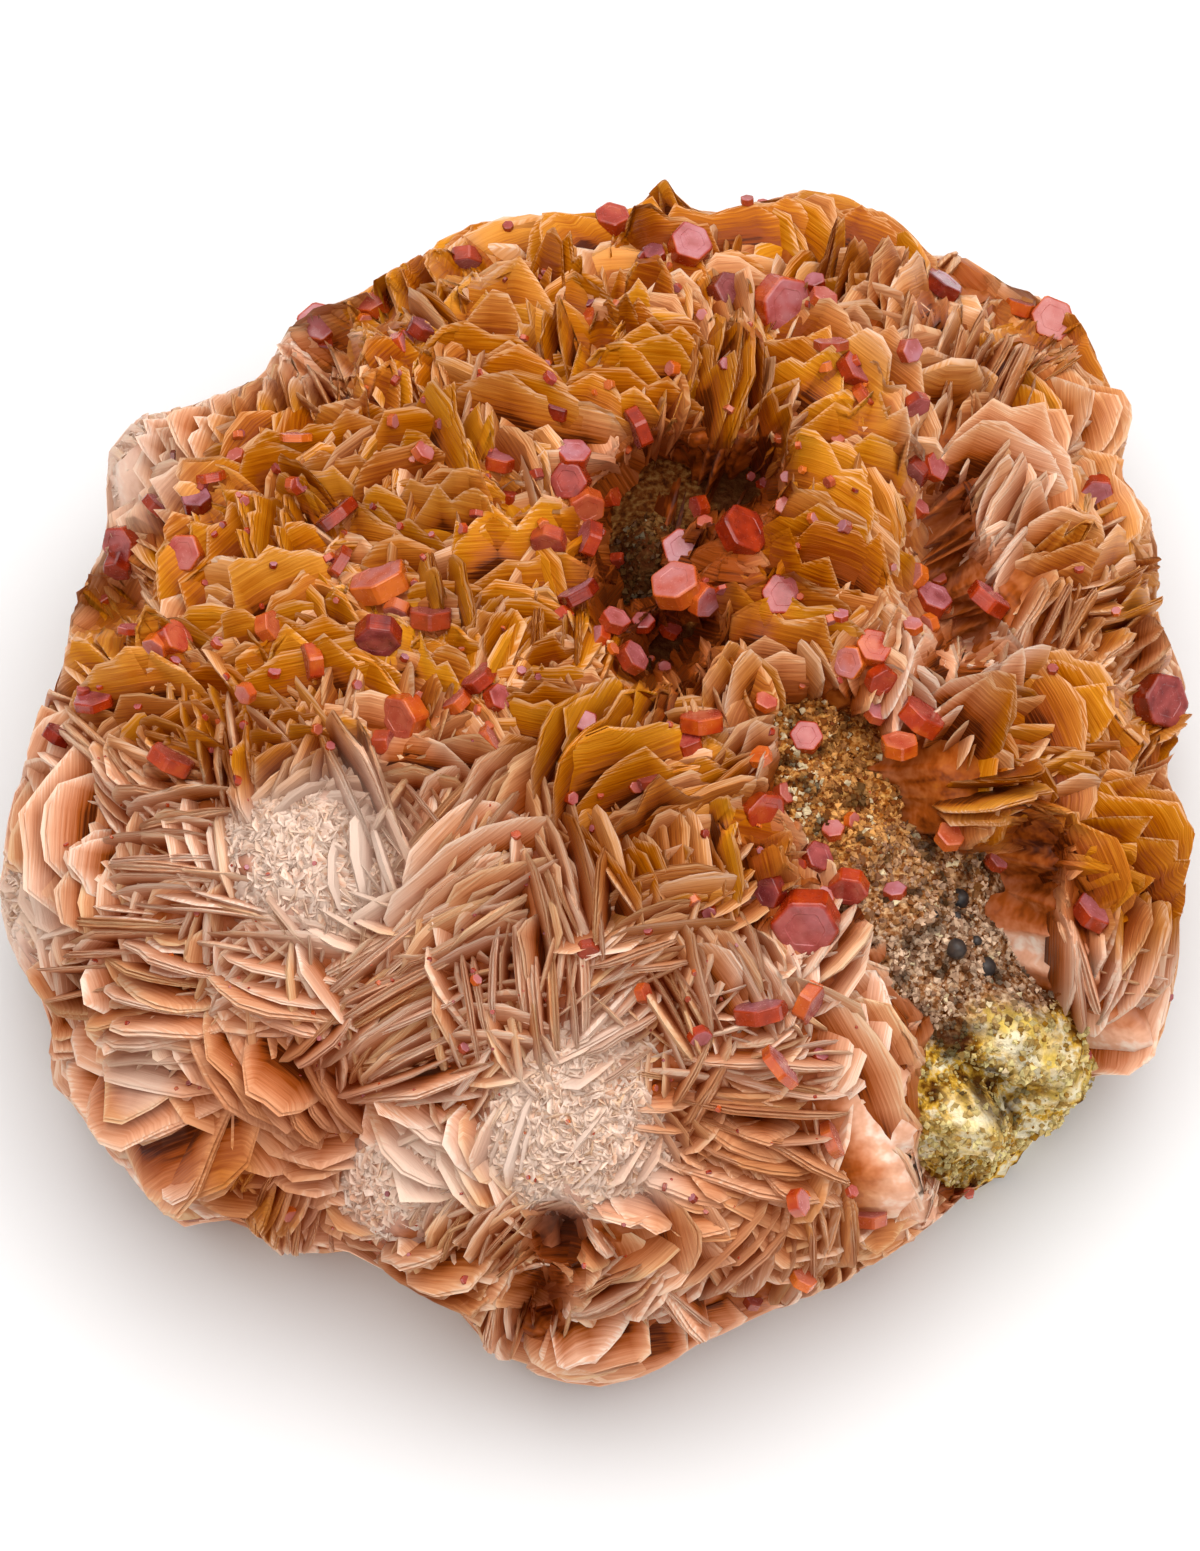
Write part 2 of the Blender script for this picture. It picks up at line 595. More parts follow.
def vanadiniteMaterial():
    # red, deeper or more orange by each crystal's tone, with growth lines across the prism faces
    material, tree, shader = startMaterial("vanadinite")
    tone, dust, end, _ = attributeShares(tree, "look")
    mottle, fine = speckle(tree, vanadiniteLook["speckle"])
    grain = attributeVector(tree, "grain")
    lines = noise(tree, grain, *vanadiniteLook["lineNoise"], vanadiniteLook["lines"])
    mottled = calc(tree, "MULTIPLY", calc(tree, "SUBTRACT", mottle, vanadiniteLook["mottleMiddle"]),
                   vanadiniteLook["mottleShare"])
    blend = calc(tree, "ADD", calc(tree, "MULTIPLY", tone, vanadiniteLook["toneShare"]), mottled)
    dusty = mixColour(tree, dust, ramp(tree, blend, vanadiniteLook["red"]), vanadiniteLook["dust"])
    bloom = calc(tree, "MULTIPLY", end, span(tree, mottle, *vanadiniteLook["bloomMottle"]))
    colourAndGlow(material, tree, shader, mixColour(tree, bloom, dusty, vanadiniteLook["bloom"]))
    link(tree, span(tree, fine, *vanadiniteLook["roughness"]), shader.inputs["Roughness"])
    shader.inputs["IOR"].default_value = vanadiniteLook["refraction"]
    rough = calc(tree, "MULTIPLY", fine, vanadiniteLook["fineBump"])
    bump(tree, shader, calc(tree, "ADD", lines, rough), *vanadiniteLook["bump"])
    return material


bariteFinish = bariteMaterial()
rockFinish = rockMaterial()
grainFinish = grainMaterial()
vanadiniteFinish = vanadiniteMaterial()
print("materials ready")

# where the colours lie on the show face: u, v, radius, strength
stainPatches = [
    (-38, 10, 8, 0.9), (-28, 12, 14, 1), (-16, 14, 12, 0.9), (-25, 22, 11, 0.95), (-13, 22, 10, 0.75),
    (-10, 34, 12, 0.95), (0, 42, 12, 1), (10, 43, 10, 1), (-16, 40, 8, 0.9), (4, 34, 8, 0.8),
    (16, 30, 10, 0.85), (18, 20, 10, 0.85), (16, 12, 9, 0.8), (2, 2, 9, 0.85), (5, -3, 9, 0.9),
    (11, -7, 6, 0.9), (-5, 10, 9, 0.95), (-6, 17, 8, 0.95), (6, -11, 6, 0.35), (20, 46, 8, 0.7),
    (25, 42, 7, 0.5), (30, 34, 9, 0.4), (38, 36, 9, 0.6), (43, 26, 5, 0.5), (38, 2, 9, 0.95),
    (33, -2, 6, 0.85), (44, -7, 7, 0.95), (46, 4, 5, 0.7), (42, 16, 8, 0.6), (18, -36, 6, 0.4),
    (24, -40, 4, 0.45), (-31, -32, 3, 0.6), (-27, -36, 3, 0.6), (-10, -41, 6, 0.3), (-14, -7, 6, 0.15),
    (10, -32, 9, 0.2),
]
whitePatches = [
    (-22, -6.5, 7.5, 0.95), (-26, -5, 4, 0.8), (-16.5, -33, 3.6, 0.8), (-2.5, -28.5, 6.5, 0.95),
    (-6.5, -30.5, 3.5, 1), (2, -31, 4, 0.7), (0, -22, 4, 0.5), (-14, -32, 4, 0.7), (-48, -12, 4, 0.75),
    (-41, 25, 5.5, 0.5), (-37, -24, 3, 0.6), (-20, 0, 3, 0.35), (3.5, -33, 3, 0.5),
]
massivePatches = [
    (-41, 24.5, 4.8, 1), (-48, -11, 3.2, 1), (-37.5, -34, 3.2, 1), (23.5, -27, 4.5, 1), (25, -33, 4.5, 1),
    (22.5, -20.5, 2.6, 1), (44, -22.5, 4.2, 1), (38.2, -15.5, 2.4, 1), (26, -38, 3, 1),
]
duskPatches = [
    (-27, -28, 9, 0.65), (-22, -35, 5, 0.4), (40, -9, 5, 0.7), (7, 20, 9, 1.2), (10, -33, 9, 0.4),
]
# the deep hollows, on rock and crust alike
darkPatches = [
    (28, -22, 1.8, 0.9), (31, -25.4, 1.3, 0.9), (34.2, -27, 1.6, 0.9), (36.2, -6, 3, 0.95),
    (12, 24, 3.6, 0.95), (3, 16.5, 5, 0.95), (5.5, 11, 4, 0.95), (6.5, 21.5, 7.5, 0.75),
    (-3.5, -37, 2, 0.8), (-5, -42.5, 2, 0.8),
]
# how the patches blend: wobble moves their edges, and back is the stain that wanders over the far side;
# here and below, a noise is its cell and seed, and its octaves where they aren't the usual three
crustLook = {
    "wobble": 2.2,
    "wobbleNoise": (5.0, 31),
    "stain": 1.35,
    "back": (6.0, -14.0),
    "backStain": 0.8,
    "backNoise": (22.0, 77),
    "backSpan": (0.1, 0.7),
    "whiteWobble": 0.6,
    "duskOnRim": 0.28,
    "duskOnTone": 0.4,
    "shadeOnRim": 0.85,
    "shadeOnStain": 0.5,
}


def surfaceLook(points, rim, tone):
    # the look attribute: rim share, ochre stain, tone and white, at each point
    u, v, w = faceCoordinates(points)
    wobble = crustLook["wobble"] * softNoise(points, *crustLook["wobbleNoise"])
    stain = np.minimum(crustLook["stain"] * blobs(stainPatches, u + wobble, v - wobble), 1.0)
    back = ease(*crustLook["back"], w)
    wander = ease(*crustLook["backSpan"], softNoise(points, *crustLook["backNoise"]))
    stain = np.maximum(stain, back * wander * crustLook["backStain"])
    aside = crustLook["whiteWobble"] * wobble
    white = blobs(whitePatches, u + aside, v + aside)
    dusk = blobs(duskPatches, u, v)
    shade = blobs(darkPatches, u, v) * (1.0 - back)
    rim = rim * (1.0 - crustLook["duskOnRim"] * dusk) * (1.0 - crustLook["shadeOnRim"] * shade)
    return np.stack([rim, stain * (1.0 - crustLook["shadeOnStain"] * shade),
                     tone * (1.0 - crustLook["duskOnTone"] * dusk), white], axis=-1)


# the crust's ground, under and between the blades
groundShape = {
    "rows": 190,
    "columns": 270,
    "sink": 0.3,
    "ripple": 0.8,
    "rippleNoise": (3.2, 5, 4),
    "massiveRise": 0.6,
    "massiveCalm": 0.45,
    "steps": 3.2,
    "stepNoise": (7.0, 15, 2),
    "stepEdge": (0.3, 0.7),
    "stepHeight": 0.75,
    "aboveCut": 0.8,
    "heldAbove": 4.0,
    "rim": (0.22, 0.66, 0.14),  # plain, what massive barite adds, and the play
    "rimNoise": (2.0, 8),
    "tone": (0.5, 0.4, 0.15),
    "toneNoise": (6.0, 9),
    "cleanMassive": 0.7,
    "fine": 0.9,
    "slant": 0.3,
}


def makeGround():
    # r = lump - openings + swells + ripples, with steps of one height where the barite is massive; each
    # point is then held above the flat cut on its own ray
    directions, faces = roundGrid(groundShape["rows"], groundShape["columns"])
    radius = baseRadius(directions, lump["underDepth"])
    u, v, w = faceCoordinates(lump["centre"] + directions * radius[:, None])
    facing = inFront(w)
    opened, depth = windowDepth(u, v)
    massive = blobs(massivePatches, u, v) * facing
    radius = radius - opened * facing * (depth + lump["bariteBelowRock"]) + facing * domes(swells, u, v)
    start = directions * radius[:, None]
    calm = 1.0 - groundShape["massiveCalm"] * massive
    radius = radius - groundShape["sink"] + massive * groundShape["massiveRise"]
    radius = radius + groundShape["ripple"] * roughNoise(start, *groundShape["rippleNoise"]) * calm
    level = groundShape["steps"] * roughNoise(start, *groundShape["stepNoise"])
    stepped = np.floor(level) + ease(*groundShape["stepEdge"], level - np.floor(level))
    radius = radius + massive * groundShape["stepHeight"] * stepped
    floorReach = reachDown(directions, lump["centre"][2])
    rock = baseRadius(directions, lump["rockUnderDepth"]) - lump["crust"]
    underRock = (directions[:, 2] < 0) & (rock > floorReach)
    shortReach = reachDown(directions, lump["centre"][2] - groundShape["aboveCut"])
    radius = np.minimum(radius, np.where(underRock, shortReach, floorReach))
    points = lump["centre"] + directions * radius[:, None]
    held = holdInBox(holdInOutline(keepOutside(points, openPlaces)))
    points = np.where((points[:, 2] > groundShape["heldAbove"])[:, None], held, points)
    (rim, rimMassive, rimPlay), (tone, toneMassive, tonePlay) = groundShape["rim"], groundShape["tone"]
    rim = rim + rimMassive * massive + rimPlay * roughNoise(points, *groundShape["rimNoise"])
    tone = tone + toneMassive * massive + tonePlay * softNoise(points, *groundShape["toneNoise"])
    look = surfaceLook(points, np.clip(rim, 0, 1), np.clip(tone, 0, 1))
    look[:, 1] *= 1.0 - groundShape["cleanMassive"] * massive
    u, v, w = faceCoordinates(points)
    fine, slant = groundShape["fine"], groundShape["slant"]
    long, short = bariteLook["streaks"]
    grain = np.stack([(u + slant * w) * fine / long, (v + slant * w) * fine / short, 0.0 * u], axis=1)
    return newPiece("bariteGround", points, faces, bariteFinish, True,
                    {"look": look, "grain": grain}, ["barite_blades"], "barite")


# barite blades
# stacks on the show face: u, v, direction of the edges, length, width of the stack, lean, height
stacks = [
    # lower left, stacked like basketwork
    (-42.2, -5.5, 90, 15, 4, 12, 6), (-40, -9.2, 90, 7, 2.6, 10, 6), (-34.5, -6.6, 4, 12, 4.5, 0, 5),
    (-35, -3, 10, 13, 3, -12, 5), (-35.5, -10.4, 2, 9, 4, 0, 2.5), (-38, 0.8, -63, 7, 5, 0, 3.5),
    (-32, 3.6, -75, 5, 4, 0, 3.5), (-29, -0.5, -84, 11, 2.6, 6, 6.5), (-25.6, 3, 3, 8, 4.6, 8, 4.5),
    (-32.5, 1.2, 3, 8, 3, 8, 4.5), (-23.8, -0.6, 62, 6, 3, 0, 4), (-19.6, -0.6, -60, 12, 3, 20, 7),
    (-13, -0.2, -8, 11, 3, 14, 5.5), (-14.5, -4.2, -55, 8, 5, 10, 3.5), (-10.8, -4.2, 50, 13, 6, 10, 5),
    (-9.5, -8.6, 38, 14, 3.4, 18, 6.5), (-11.5, -12.8, 28, 14, 5, 14, 4), (-39, -13.4, 3, 13, 3, 0, 5),
    (-40.5, -15.8, 6, 12, 3, -10, 5.5), (-35.2, -16.4, -22, 12, 4, -12, 4.5),
    (-43.4, -19.2, -50, 9, 5, -10, 4), (-37.4, -18.6, -8, 8, 2.6, -30, 5),
    (-34, -21.2, -6, 14, 4.5, -22, 5), (-36.2, -24.8, -4, 17, 3.4, -42, 7),
    (-32.4, -28.8, 26, 15, 3.4, -40, 6.5), (-40, -28.2, -35, 9, 5, -30, 3),
    (-26.6, -23.8, -43, 13, 4.4, -18, 6), (-25, -17.4, -18, 13, 4, -14, 5),
    (-22.2, -26.2, -52, 9, 4, -10, 4.5), (-21.8, -20.6, 38, 9, 2.6, -10, 6),
    (-26, -12.6, -58, 6, 7, 0, 3), (-20, -13.2, 84, 6, 6, 0, 3), (-17, -15.4, 30, 13, 5, 10, 4.5),
    (-15, -19.6, 26, 13, 6, 0, 4), (-18, -22.8, 66, 6, 4, 0, 3.5), (-14.6, -24.6, 12, 13, 2.6, -14, 5.5),
    (-14, -27.4, -40, 11, 5, -10, 4.5), (-10.4, -18.8, -78, 11, 2.6, 6, 5.5),
    (-7.9, -19.6, -74, 8, 3, 0, 3.5), (-6.6, -15.4, 88, 9, 4, 0, 5), (-3.7, -17.4, -86, 13, 4.6, 4, 5),
    (-3.6, -9.4, -74, 10, 4, 8, 4.5), (-0.5, -9.8, -82, 10, 2.4, 12, 6), (2, -8.8, -60, 6, 2, 10, 5),
    (4.6, -8, -80, 6, 5, 10, 3), (5.8, -11.2, 8, 12, 3.4, 16, 5), (3.2, -14.2, 12, 9, 3, -24, 5),
    (1.8, -18.4, 42, 7, 5, -12, 3), (6.4, -18.2, -62, 10, 5, 0, 4.5), (9.8, -16.2, -62, 11, 5, 8, 5),
    (13, -14.6, -68, 9, 4, 12, 4), (8.4, -24.4, 64, 8, 3, 10, 6), (0.8, -22, 28, 8, 4, -10, 3.5),
    (3.8, -25.8, -3, 9, 4, -8, 3.5), (12.4, -26, -4, 14, 6, -6, 4.5), (12.4, -29.8, -14, 15, 5, -12, 5),
    (15, -32.4, -28, 13, 4, -14, 5), (8.4, -33, -12, 11, 4.4, -20, 4.5),
    (13.4, -22.6, 18, 7, 3.6, 0, 3.5), (2.2, -33.4, -12, 9, 2.6, -24, 4.5),
    (5, -36.6, -70, 11, 3, 44, 6.5), (10.2, -37.2, 46, 12, 5, 28, 5), (14.6, -38, 62, 12, 6, 20, 5),
    (18.6, -36.2, 88, 10, 3.4, 10, 5), (-12.4, -35.8, 68, 6, 8, 0, 3), (-13, -38.2, 3, 10, 2.2, -10, 4.5),
    (-7, -37.2, 50, 9, 4, 20, 5), (-12.4, -41, 4, 14, 3.6, -22, 4.5), (-4, -39.2, 3, 7, 2.4, -20, 5),
    (-1, -36.6, -50, 7, 1.8, 0, 5), (-8, -43.6, 84, 7, 4, 0, 4), (1, -41.2, 24, 9, 4, 38, 4.5),
    (6, -42.2, -42, 9, 2.4, 20, 5.5), (-0.6, -45, 18, 12, 2.6, -20, 5), (2.4, -47, 10, 14, 3, -48, 5),
    (-28.2, -31.8, 58, 7, 4, 10, 3.5), (-26, -34.8, 56, 9, 4.4, 10, 3.5), (-23.6, -37, 68, 7, 5, 0, 3),
    (-31.4, -31.6, -52, 5, 2, 0, 3), (22, -22.4, -62, 14, 3, 52, 5), (24.2, -28.6, -78, 12, 3, 50, 4.5),
    (22.6, -36.8, 18, 9, 5, -46, 3), (-35.6, -33, -30, 8, 5, -50, 2.5),
    (23.6, -19.4, -66, 12, 3, 66, 4.5), (25.6, -25, -80, 12, 3, 68, 4), (22.8, -32, -62, 13, 3, 62, 4),
    (27, -33, 70, 9, 3, 64, 3), (25, -38, 30, 10, 3, 54, 3), (38, -11, -74, 8, 3, -50, 3.5),
    (39.6, -8, -60, 9, 3, 30, 4),
    # upper left, rims stained ochre
    (-36.4, 5.4, 8, 18, 3.4, 44, 6.5), (-21.8, 6.8, 14, 16, 3.4, 42, 6), (-14, 7.6, -8, 9, 3.4, 40, 5.5),
    (-5.4, 4.4, -8, 9, 3, 42, 5), (-40.4, 8.6, 28, 10, 3.4, 40, 4.5), (-33.6, 9.2, -14, 11, 3, 36, 5),
    (-26.4, 10, 10, 12, 3.4, 34, 4.5), (-20.6, 12.2, -24, 8, 2.6, 30, 5), (-24, 14.2, 28, 12, 4, 36, 5),
    (-32, 15.6, 32, 12, 5, 38, 5), (-29.4, 21.2, 46, 10, 4, 38, 6), (-38, 16.2, 44, 8, 5, 34, 4.5),
    (-25.4, 18, 88, 8, 3.4, 6, 5.5), (-23.8, 20.8, -22, 8, 4, 20, 5.5), (-22, 24.2, 14, 12, 4, 32, 5),
    (-33, 26.8, 76, 8, 7, 10, 4), (-27, 30.2, 70, 9, 6, 16, 4), (-23.2, 33.4, 70, 9, 5, 20, 4.5),
    (-19.8, 28.6, -20, 7, 4, 40, 5.5), (-17.6, 32.6, 50, 8, 4, 30, 5), (-13, 31.8, 42, 7, 4, 30, 5),
    (-10, 34, -12, 14, 4, 44, 6), (-6, 29.2, -13, 19, 4, 30, 5.5), (-12.4, 24.8, -60, 13, 3, 30, 6.5),
    (-15.4, 24.4, 5, 10, 5, 24, 4.5), (-12.4, 20.6, -3, 12, 2.6, 24, 6),
    (-16.6, 18.2, -12, 9, 3, 30, 4.5), (-12.8, 13.8, -76, 9, 3, 12, 5), (-5.6, 16.4, 0, 14, 4, 40, 5),
    (-7.6, 11.2, 52, 7, 4, 16, 4), (-3.8, 11, 84, 7, 4, 0, 3), (-3.8, 7.2, 8, 7, 2.6, 30, 4),
    (0.4, 2.8, 55, 16, 3.6, 30, 7.5), (4.2, 4.8, 62, 10, 3, 20, 6), (4, -2.4, 20, 17, 3, 34, 8),
    (10.2, 6.8, 50, 7, 4, 24, 5), (9, 10.2, 64, 5, 2, 20, 6), (15, 10.8, -10, 15, 3, 30, 5),
    (16.6, 13.8, -12, 16, 3, 40, 5.5), (17.8, 17.8, -26, 15, 5, 48, 6.5), (19.2, 24, -20, 12, 5, 42, 6),
    (13.8, 26.4, -70, 8, 2, 14, 7), (18.2, 30.6, -38, 18, 5, 46, 6.5), (10.2, 31, -86, 12, 4, 24, 7),
    (7.2, 32.8, -84, 8, 2, 16, 5), (2.8, 31.8, -5, 12, 7, 30, 5), (-3, 34.2, 66, 7, 3, 24, 7),
    (2.4, 37.2, -14, 7, 4, 34, 5), (4.6, 40.6, 5, 9, 3.4, 50, 6), (-5, 38.8, -34, 7, 3.4, 44, 6),
    (-10.2, 38.2, 64, 6, 5, 16, 4.5), (-14.4, 40, 58, 7, 6, 24, 4.5), (-8, 44.4, 22, 15, 4, 44, 4.5),
    (0, 43.6, 18, 12, 4, 46, 5), (11, 44.8, 3, 14, 3.4, 50, 4.5), (6.2, 46.6, 0, 4, 2, 20, 6),
    (-18, 41, 36, 8, 4, 34, 3.5), (-44, 1.6, 62, 8, 4, 20, 4), (11.4, -7, -80, 11, 3, 44, 5),
    (13.4, 1.4, 40, 6, 3, 20, 4),
    # the ridge on the right, beyond the valley
    (20, 46.4, 4, 13, 4, 40, 4), (22.6, 43.8, -24, 12, 4, 36, 4.5), (21.4, 40.6, 50, 7, 6, 16, 4.5),
    (25.6, 38, 34, 9, 3.4, 40, 5.5), (28.2, 34.6, 64, 13, 4, 24, 5.5), (32, 33, 62, 12, 5, 16, 4.5),
    (36, 34, 74, 12, 4, 10, 4.5), (39.6, 34.6, -55, 12, 4, 36, 4.5), (37.8, 28.6, -80, 12, 3.4, 20, 6),
    (41.6, 28.4, 22, 9, 4, 20, 4.5), (33, 25.2, -18, 11, 3, 36, 6), (34, 21, 44, 9, 4, 52, 5.5),
    (41.8, 21.8, -70, 10, 6, 24, 4.5), (37, 17.8, -22, 9, 4, 36, 4.5), (36.8, 12.2, 62, 10, 4.6, 20, 5),
    (42, 14.2, 12, 10, 3, 24, 5), (43.2, 17.6, -30, 8, 4, 24, 4), (44.2, 9.6, 84, 9, 4, 20, 4),
    (39.6, 8.6, 60, 8, 4, 10, 4.5), (33.4, 9.6, 80, 8, 3, 40, 5), (26.4, 8.8, 26, 8, 3.4, 34, 6),
    (29.4, 3.8, -43, 9, 1.4, 6, 9), (32.4, -1.2, 18, 9, 3, -44, 7.5), (31.6, 6.8, 0, 8, 3, 30, 6.5),
    (37.6, 3.4, -55, 13, 5, 40, 6.5), (41.8, -6.6, -56, 15, 5, 42, 6.5),
    (45.2, -3.6, -60, 10, 4, 36, 4.5), (45.2, 4, 70, 8, 4, 24, 4), (38.8, -6.6, -64, 9, 2, 50, 4.5),
    (38.6, -15.6, -80, 11, 3, -40, 5), (43, -14.2, 80, 12, 5, 20, 5), (45.6, -16.6, -86, 11, 3.4, 24, 4),
    (43.6, -21.6, 30, 8, 4, -40, 3),
]
bladeShape = {
    "root": 2.6,
    "fade": 3.8,
    "bend": 0.05,
    "bow": 0.02,
    "knee": 1.3,
    "fullLength": 9.0,
    "thickness": (0.35, 1.1),
    "skew": 0.45,
    "slope": 0.3,
    "rimThin": 0.25,
    "footWidth": 0.84,
    "widening": 0.16,
    "tonePlay": 0.26,
    "toneWander": 0.18,
    "toneNoise": (8.0, 19),
    "patternReach": 400.0,
    "patternAside": 2.0,
    "patternShift": 0.37,
}
# section loops: how far up each corner is and how far to the side, with one to three crests along the rim
sections = {
    "bundle": {"rise": [0.0, 0.5, 0.86, 0.97, 0.90, 1.0, 0.92, 0.955, 0.5, 0.0],
               "side": [1.0, 1.0, 0.92, 0.62, 0.35, 0.05, -0.3, -0.7, -1.0, -1.0]},
    "plate": {"rise": [0.0, 0.6, 0.93, 1.0, 0.9, 0.5, 0.0],
              "side": [1.0, 1.0, 0.75, 0.1, -0.8, -1.0, -1.0]},
    "shard": {"rise": [0.0, 0.95, 1.0, 0.0], "side": [1.0, 0.7, -0.6, -1.0]},
}


def bladeArrays(frames, kind, rng):
    # s runs along a blade's edge and a loop of (rise t, side) goes round its section. A point is
    # foot + edge * s * length / 2 + outward * (t * (root + height * crest(s)) - root)
    # + face * side * half thickness, where crest(s) = (1 - |s|^p)^q less its notches, and the half
    # thickness falls towards the ends and the rim
    foot, edge, outward, length, height = frames
    section = sections[kind["section"]]
    count, columns = len(foot), kind["columns"]
    stout = np.clip(length / bladeShape["fullLength"], *bladeShape["thickness"])
    thickness = rng.uniform(*kind["thickness"], count) * stout
    t = np.array(section["rise"])[None, None, :]
    side = np.array(section["side"])[None, None, :]
    s = np.sin(np.linspace(-1.0, 1.0, columns) * math.pi / 2)[None, :]
    p = rng.uniform(*kind["squareness"], (count, 1))
    q = rng.uniform(*kind["roundness"], (count, 1))
    skew = rng.uniform(-bladeShape["skew"], bladeShape["skew"], (count, 1))
    slope = rng.uniform(-bladeShape["slope"], bladeShape["slope"], (count, 1))
    warped = s + skew * (1.0 - s**2)
    crest = np.maximum(1.0 - np.abs(warped) ** p, 0.0) ** q * (1.0 + slope * s)
    crest = crest * (1.0 - kind["notches"] * rng.random((count, columns)) ** 3)
    crest = crest + kind["rimPlay"] * rng.standard_normal((count, columns)) * (1.0 - s**4)
    tall = height[:, None] * np.maximum(crest, 0.0)
    rise = t * (bladeShape["root"] + tall[..., None]) - bladeShape["root"]
    taper = (1.0 - kind["taper"] * np.abs(s[..., None]) ** 3) * (1.0 - bladeShape["rimThin"] * t**2)
    half = 0.5 * thickness[:, None, None] * taper * side
    curl = bladeShape["bend"] * rng.standard_normal((count, 1, 1)) * height[:, None, None] * t**2
    middle = 1.0 - s[..., None] ** 2
    bow = bladeShape["bow"] * rng.standard_normal((count, 1, 1)) * length[:, None, None] * middle
    shift = half + curl + bow
    along = (0.5 * length[:, None] * s)[..., None] * (bladeShape["footWidth"] + bladeShape["widening"] * t)
    face = unit(np.cross(outward, edge))
    points = (foot[:, None, None, :] + edge[:, None, None, :] * along[..., None]
              + outward[:, None, None, :] * rise[..., None] + face[:, None, None, :] * shift[..., None])
    depth = (1.0 - t) * (bladeShape["root"] + tall[..., None])
    rim = np.clip(1.0 - depth / bladeShape["fade"], 0.0, 1.0)
    offset = rng.uniform(0.0, bladeShape["patternReach"], (count, 1, 1))
    upward = rise + shift * bladeShape["patternAside"] + offset * bladeShape["patternShift"]
    grain = np.stack([along + offset, upward, np.broadcast_to(offset, rise.shape)], axis=-1)
    return points, rim, grain


def bladeFaces(count, kind):
    # quads between neighbouring columns round the section loop, and one cap at each end
    columns, loop = kind["columns"], len(sections[kind["section"]]["rise"])
    index = np.arange(count * columns * loop).reshape(count, columns, loop)
    after = np.roll(index, -1, axis=2)
    quads = np.stack([index[:, :-1], index[:, 1:], after[:, 1:], after[:, :-1]], axis=-1).reshape(-1, 4)
    caps = np.concatenate([index[:, 0, :], index[:, -1, ::-1]])
    return [quads, caps]


def varied(values, play, limits):
    # values * (mean + spread * play), the factor kept between its least and most
    mean, spread, least, most = limits
    return values * np.clip(mean + spread * play, least, most)


def sideBySide(counts):
    # each blade's stack, and its place across the stack from -(n - 1) / 2 to (n - 1) / 2
    stack = np.repeat(np.arange(len(counts)), counts)
    return stack, np.concatenate([np.arange(n) - (n - 1) / 2.0 for n in counts])


# how far blades stray in their stack: degrees, shares of a step and of the length, and limits for varied
fanPlay = {
    "turn": 4.5,
    "lean": 7.0,
    "step": 0.1,
    "slide": 0.08,
    "length": (0.92, 0.18, 0.5, 1.2),
    "height": (0.86, 0.16, 0.45, 1.12),
}


def fanOut(table, kind):
    # each stack's row becomes width / pitch blades side by side, each with its own small play
    rng = np.random.default_rng(kind["fanSeed"])
    counts = np.maximum(np.round(table[:, 4] / kind["pitch"]).astype(int), 1)
    row, place = sideBySide(counts)
    u, v, direction, length, width, lean, height = table[row].T
    play = rng.standard_normal((6, len(row)))
    points = facePoints(u, v)
    edge, across, outward = stackFrames(points, direction + fanPlay["turn"] * play[0],
                                        lean + fanPlay["lean"] * play[1])
    step = width / np.maximum(counts[row], 1)
    aside = place * step + fanPlay["step"] * step * play[2]
    foot = points + across * aside[:, None] + edge * (fanPlay["slide"] * length * play[3])[:, None]
    return (foot, edge, outward, varied(length, play[4], fanPlay["length"]),
            varied(height, play[5], fanPlay["height"]))


# cones kept free of blades: each starts drop * radius below its middle and is flat to flat * radius
keepClear = {"margin": 1.5, "drop": 0.3, "flat": 0.9, "steepness": 7.0, "under": 2.0}


def keepOutside(points, places):
    # over each place a point is pushed down the view axis into a steep cone round (u, v) that opens from
    # (middle, radius)
    u, v, w = faceCoordinates(points)
    before = w.copy()
    for a, b, middle, radius in places:
        margin = radius + keepClear["margin"]
        near = (np.abs(u - a) < margin) & (np.abs(v - b) < margin)
        past = np.maximum(np.hypot(u[near] - a, v[near] - b) - keepClear["flat"] * radius, 0.0)
        limit = middle - keepClear["drop"] * radius + keepClear["steepness"] * past
        w[near] = np.minimum(w[near], limit)
    return points + (w - before)[..., None] * axisN


def holdInOutline(points):
    # beyond (rim - knee) of the silhouette, the distance from the view axis is eased under rim
    u, v, _ = faceCoordinates(points)
    knee = bladeShape["knee"]
    marks = np.array(silhouette)
    turn = np.unwrap(np.arctan2(marks[:, 1], marks[:, 0]))
    around = np.concatenate([turn - 2.0 * math.pi, turn, turn + 2.0 * math.pi])
    rim = np.interp(np.arctan2(v, u), around, np.tile(np.hypot(marks[:, 0], marks[:, 1]), 3))
    reach = np.hypot(u, v) + 1e-9
    past = np.maximum(reach - (rim - knee), 0.0)
    held = np.where(past > 0.0, rim - knee * np.exp(-past / knee), reach)
    inward = (held / reach - 1.0)[..., None]
    return points + inward * (u[..., None] * axisU + v[..., None] * axisV)


def holdInBox(points):
    # inside the solid part's box by insideBox, and so above the flat cut
    return np.clip(points, cadLow + lump["insideBox"], cadHigh - lump["insideBox"])


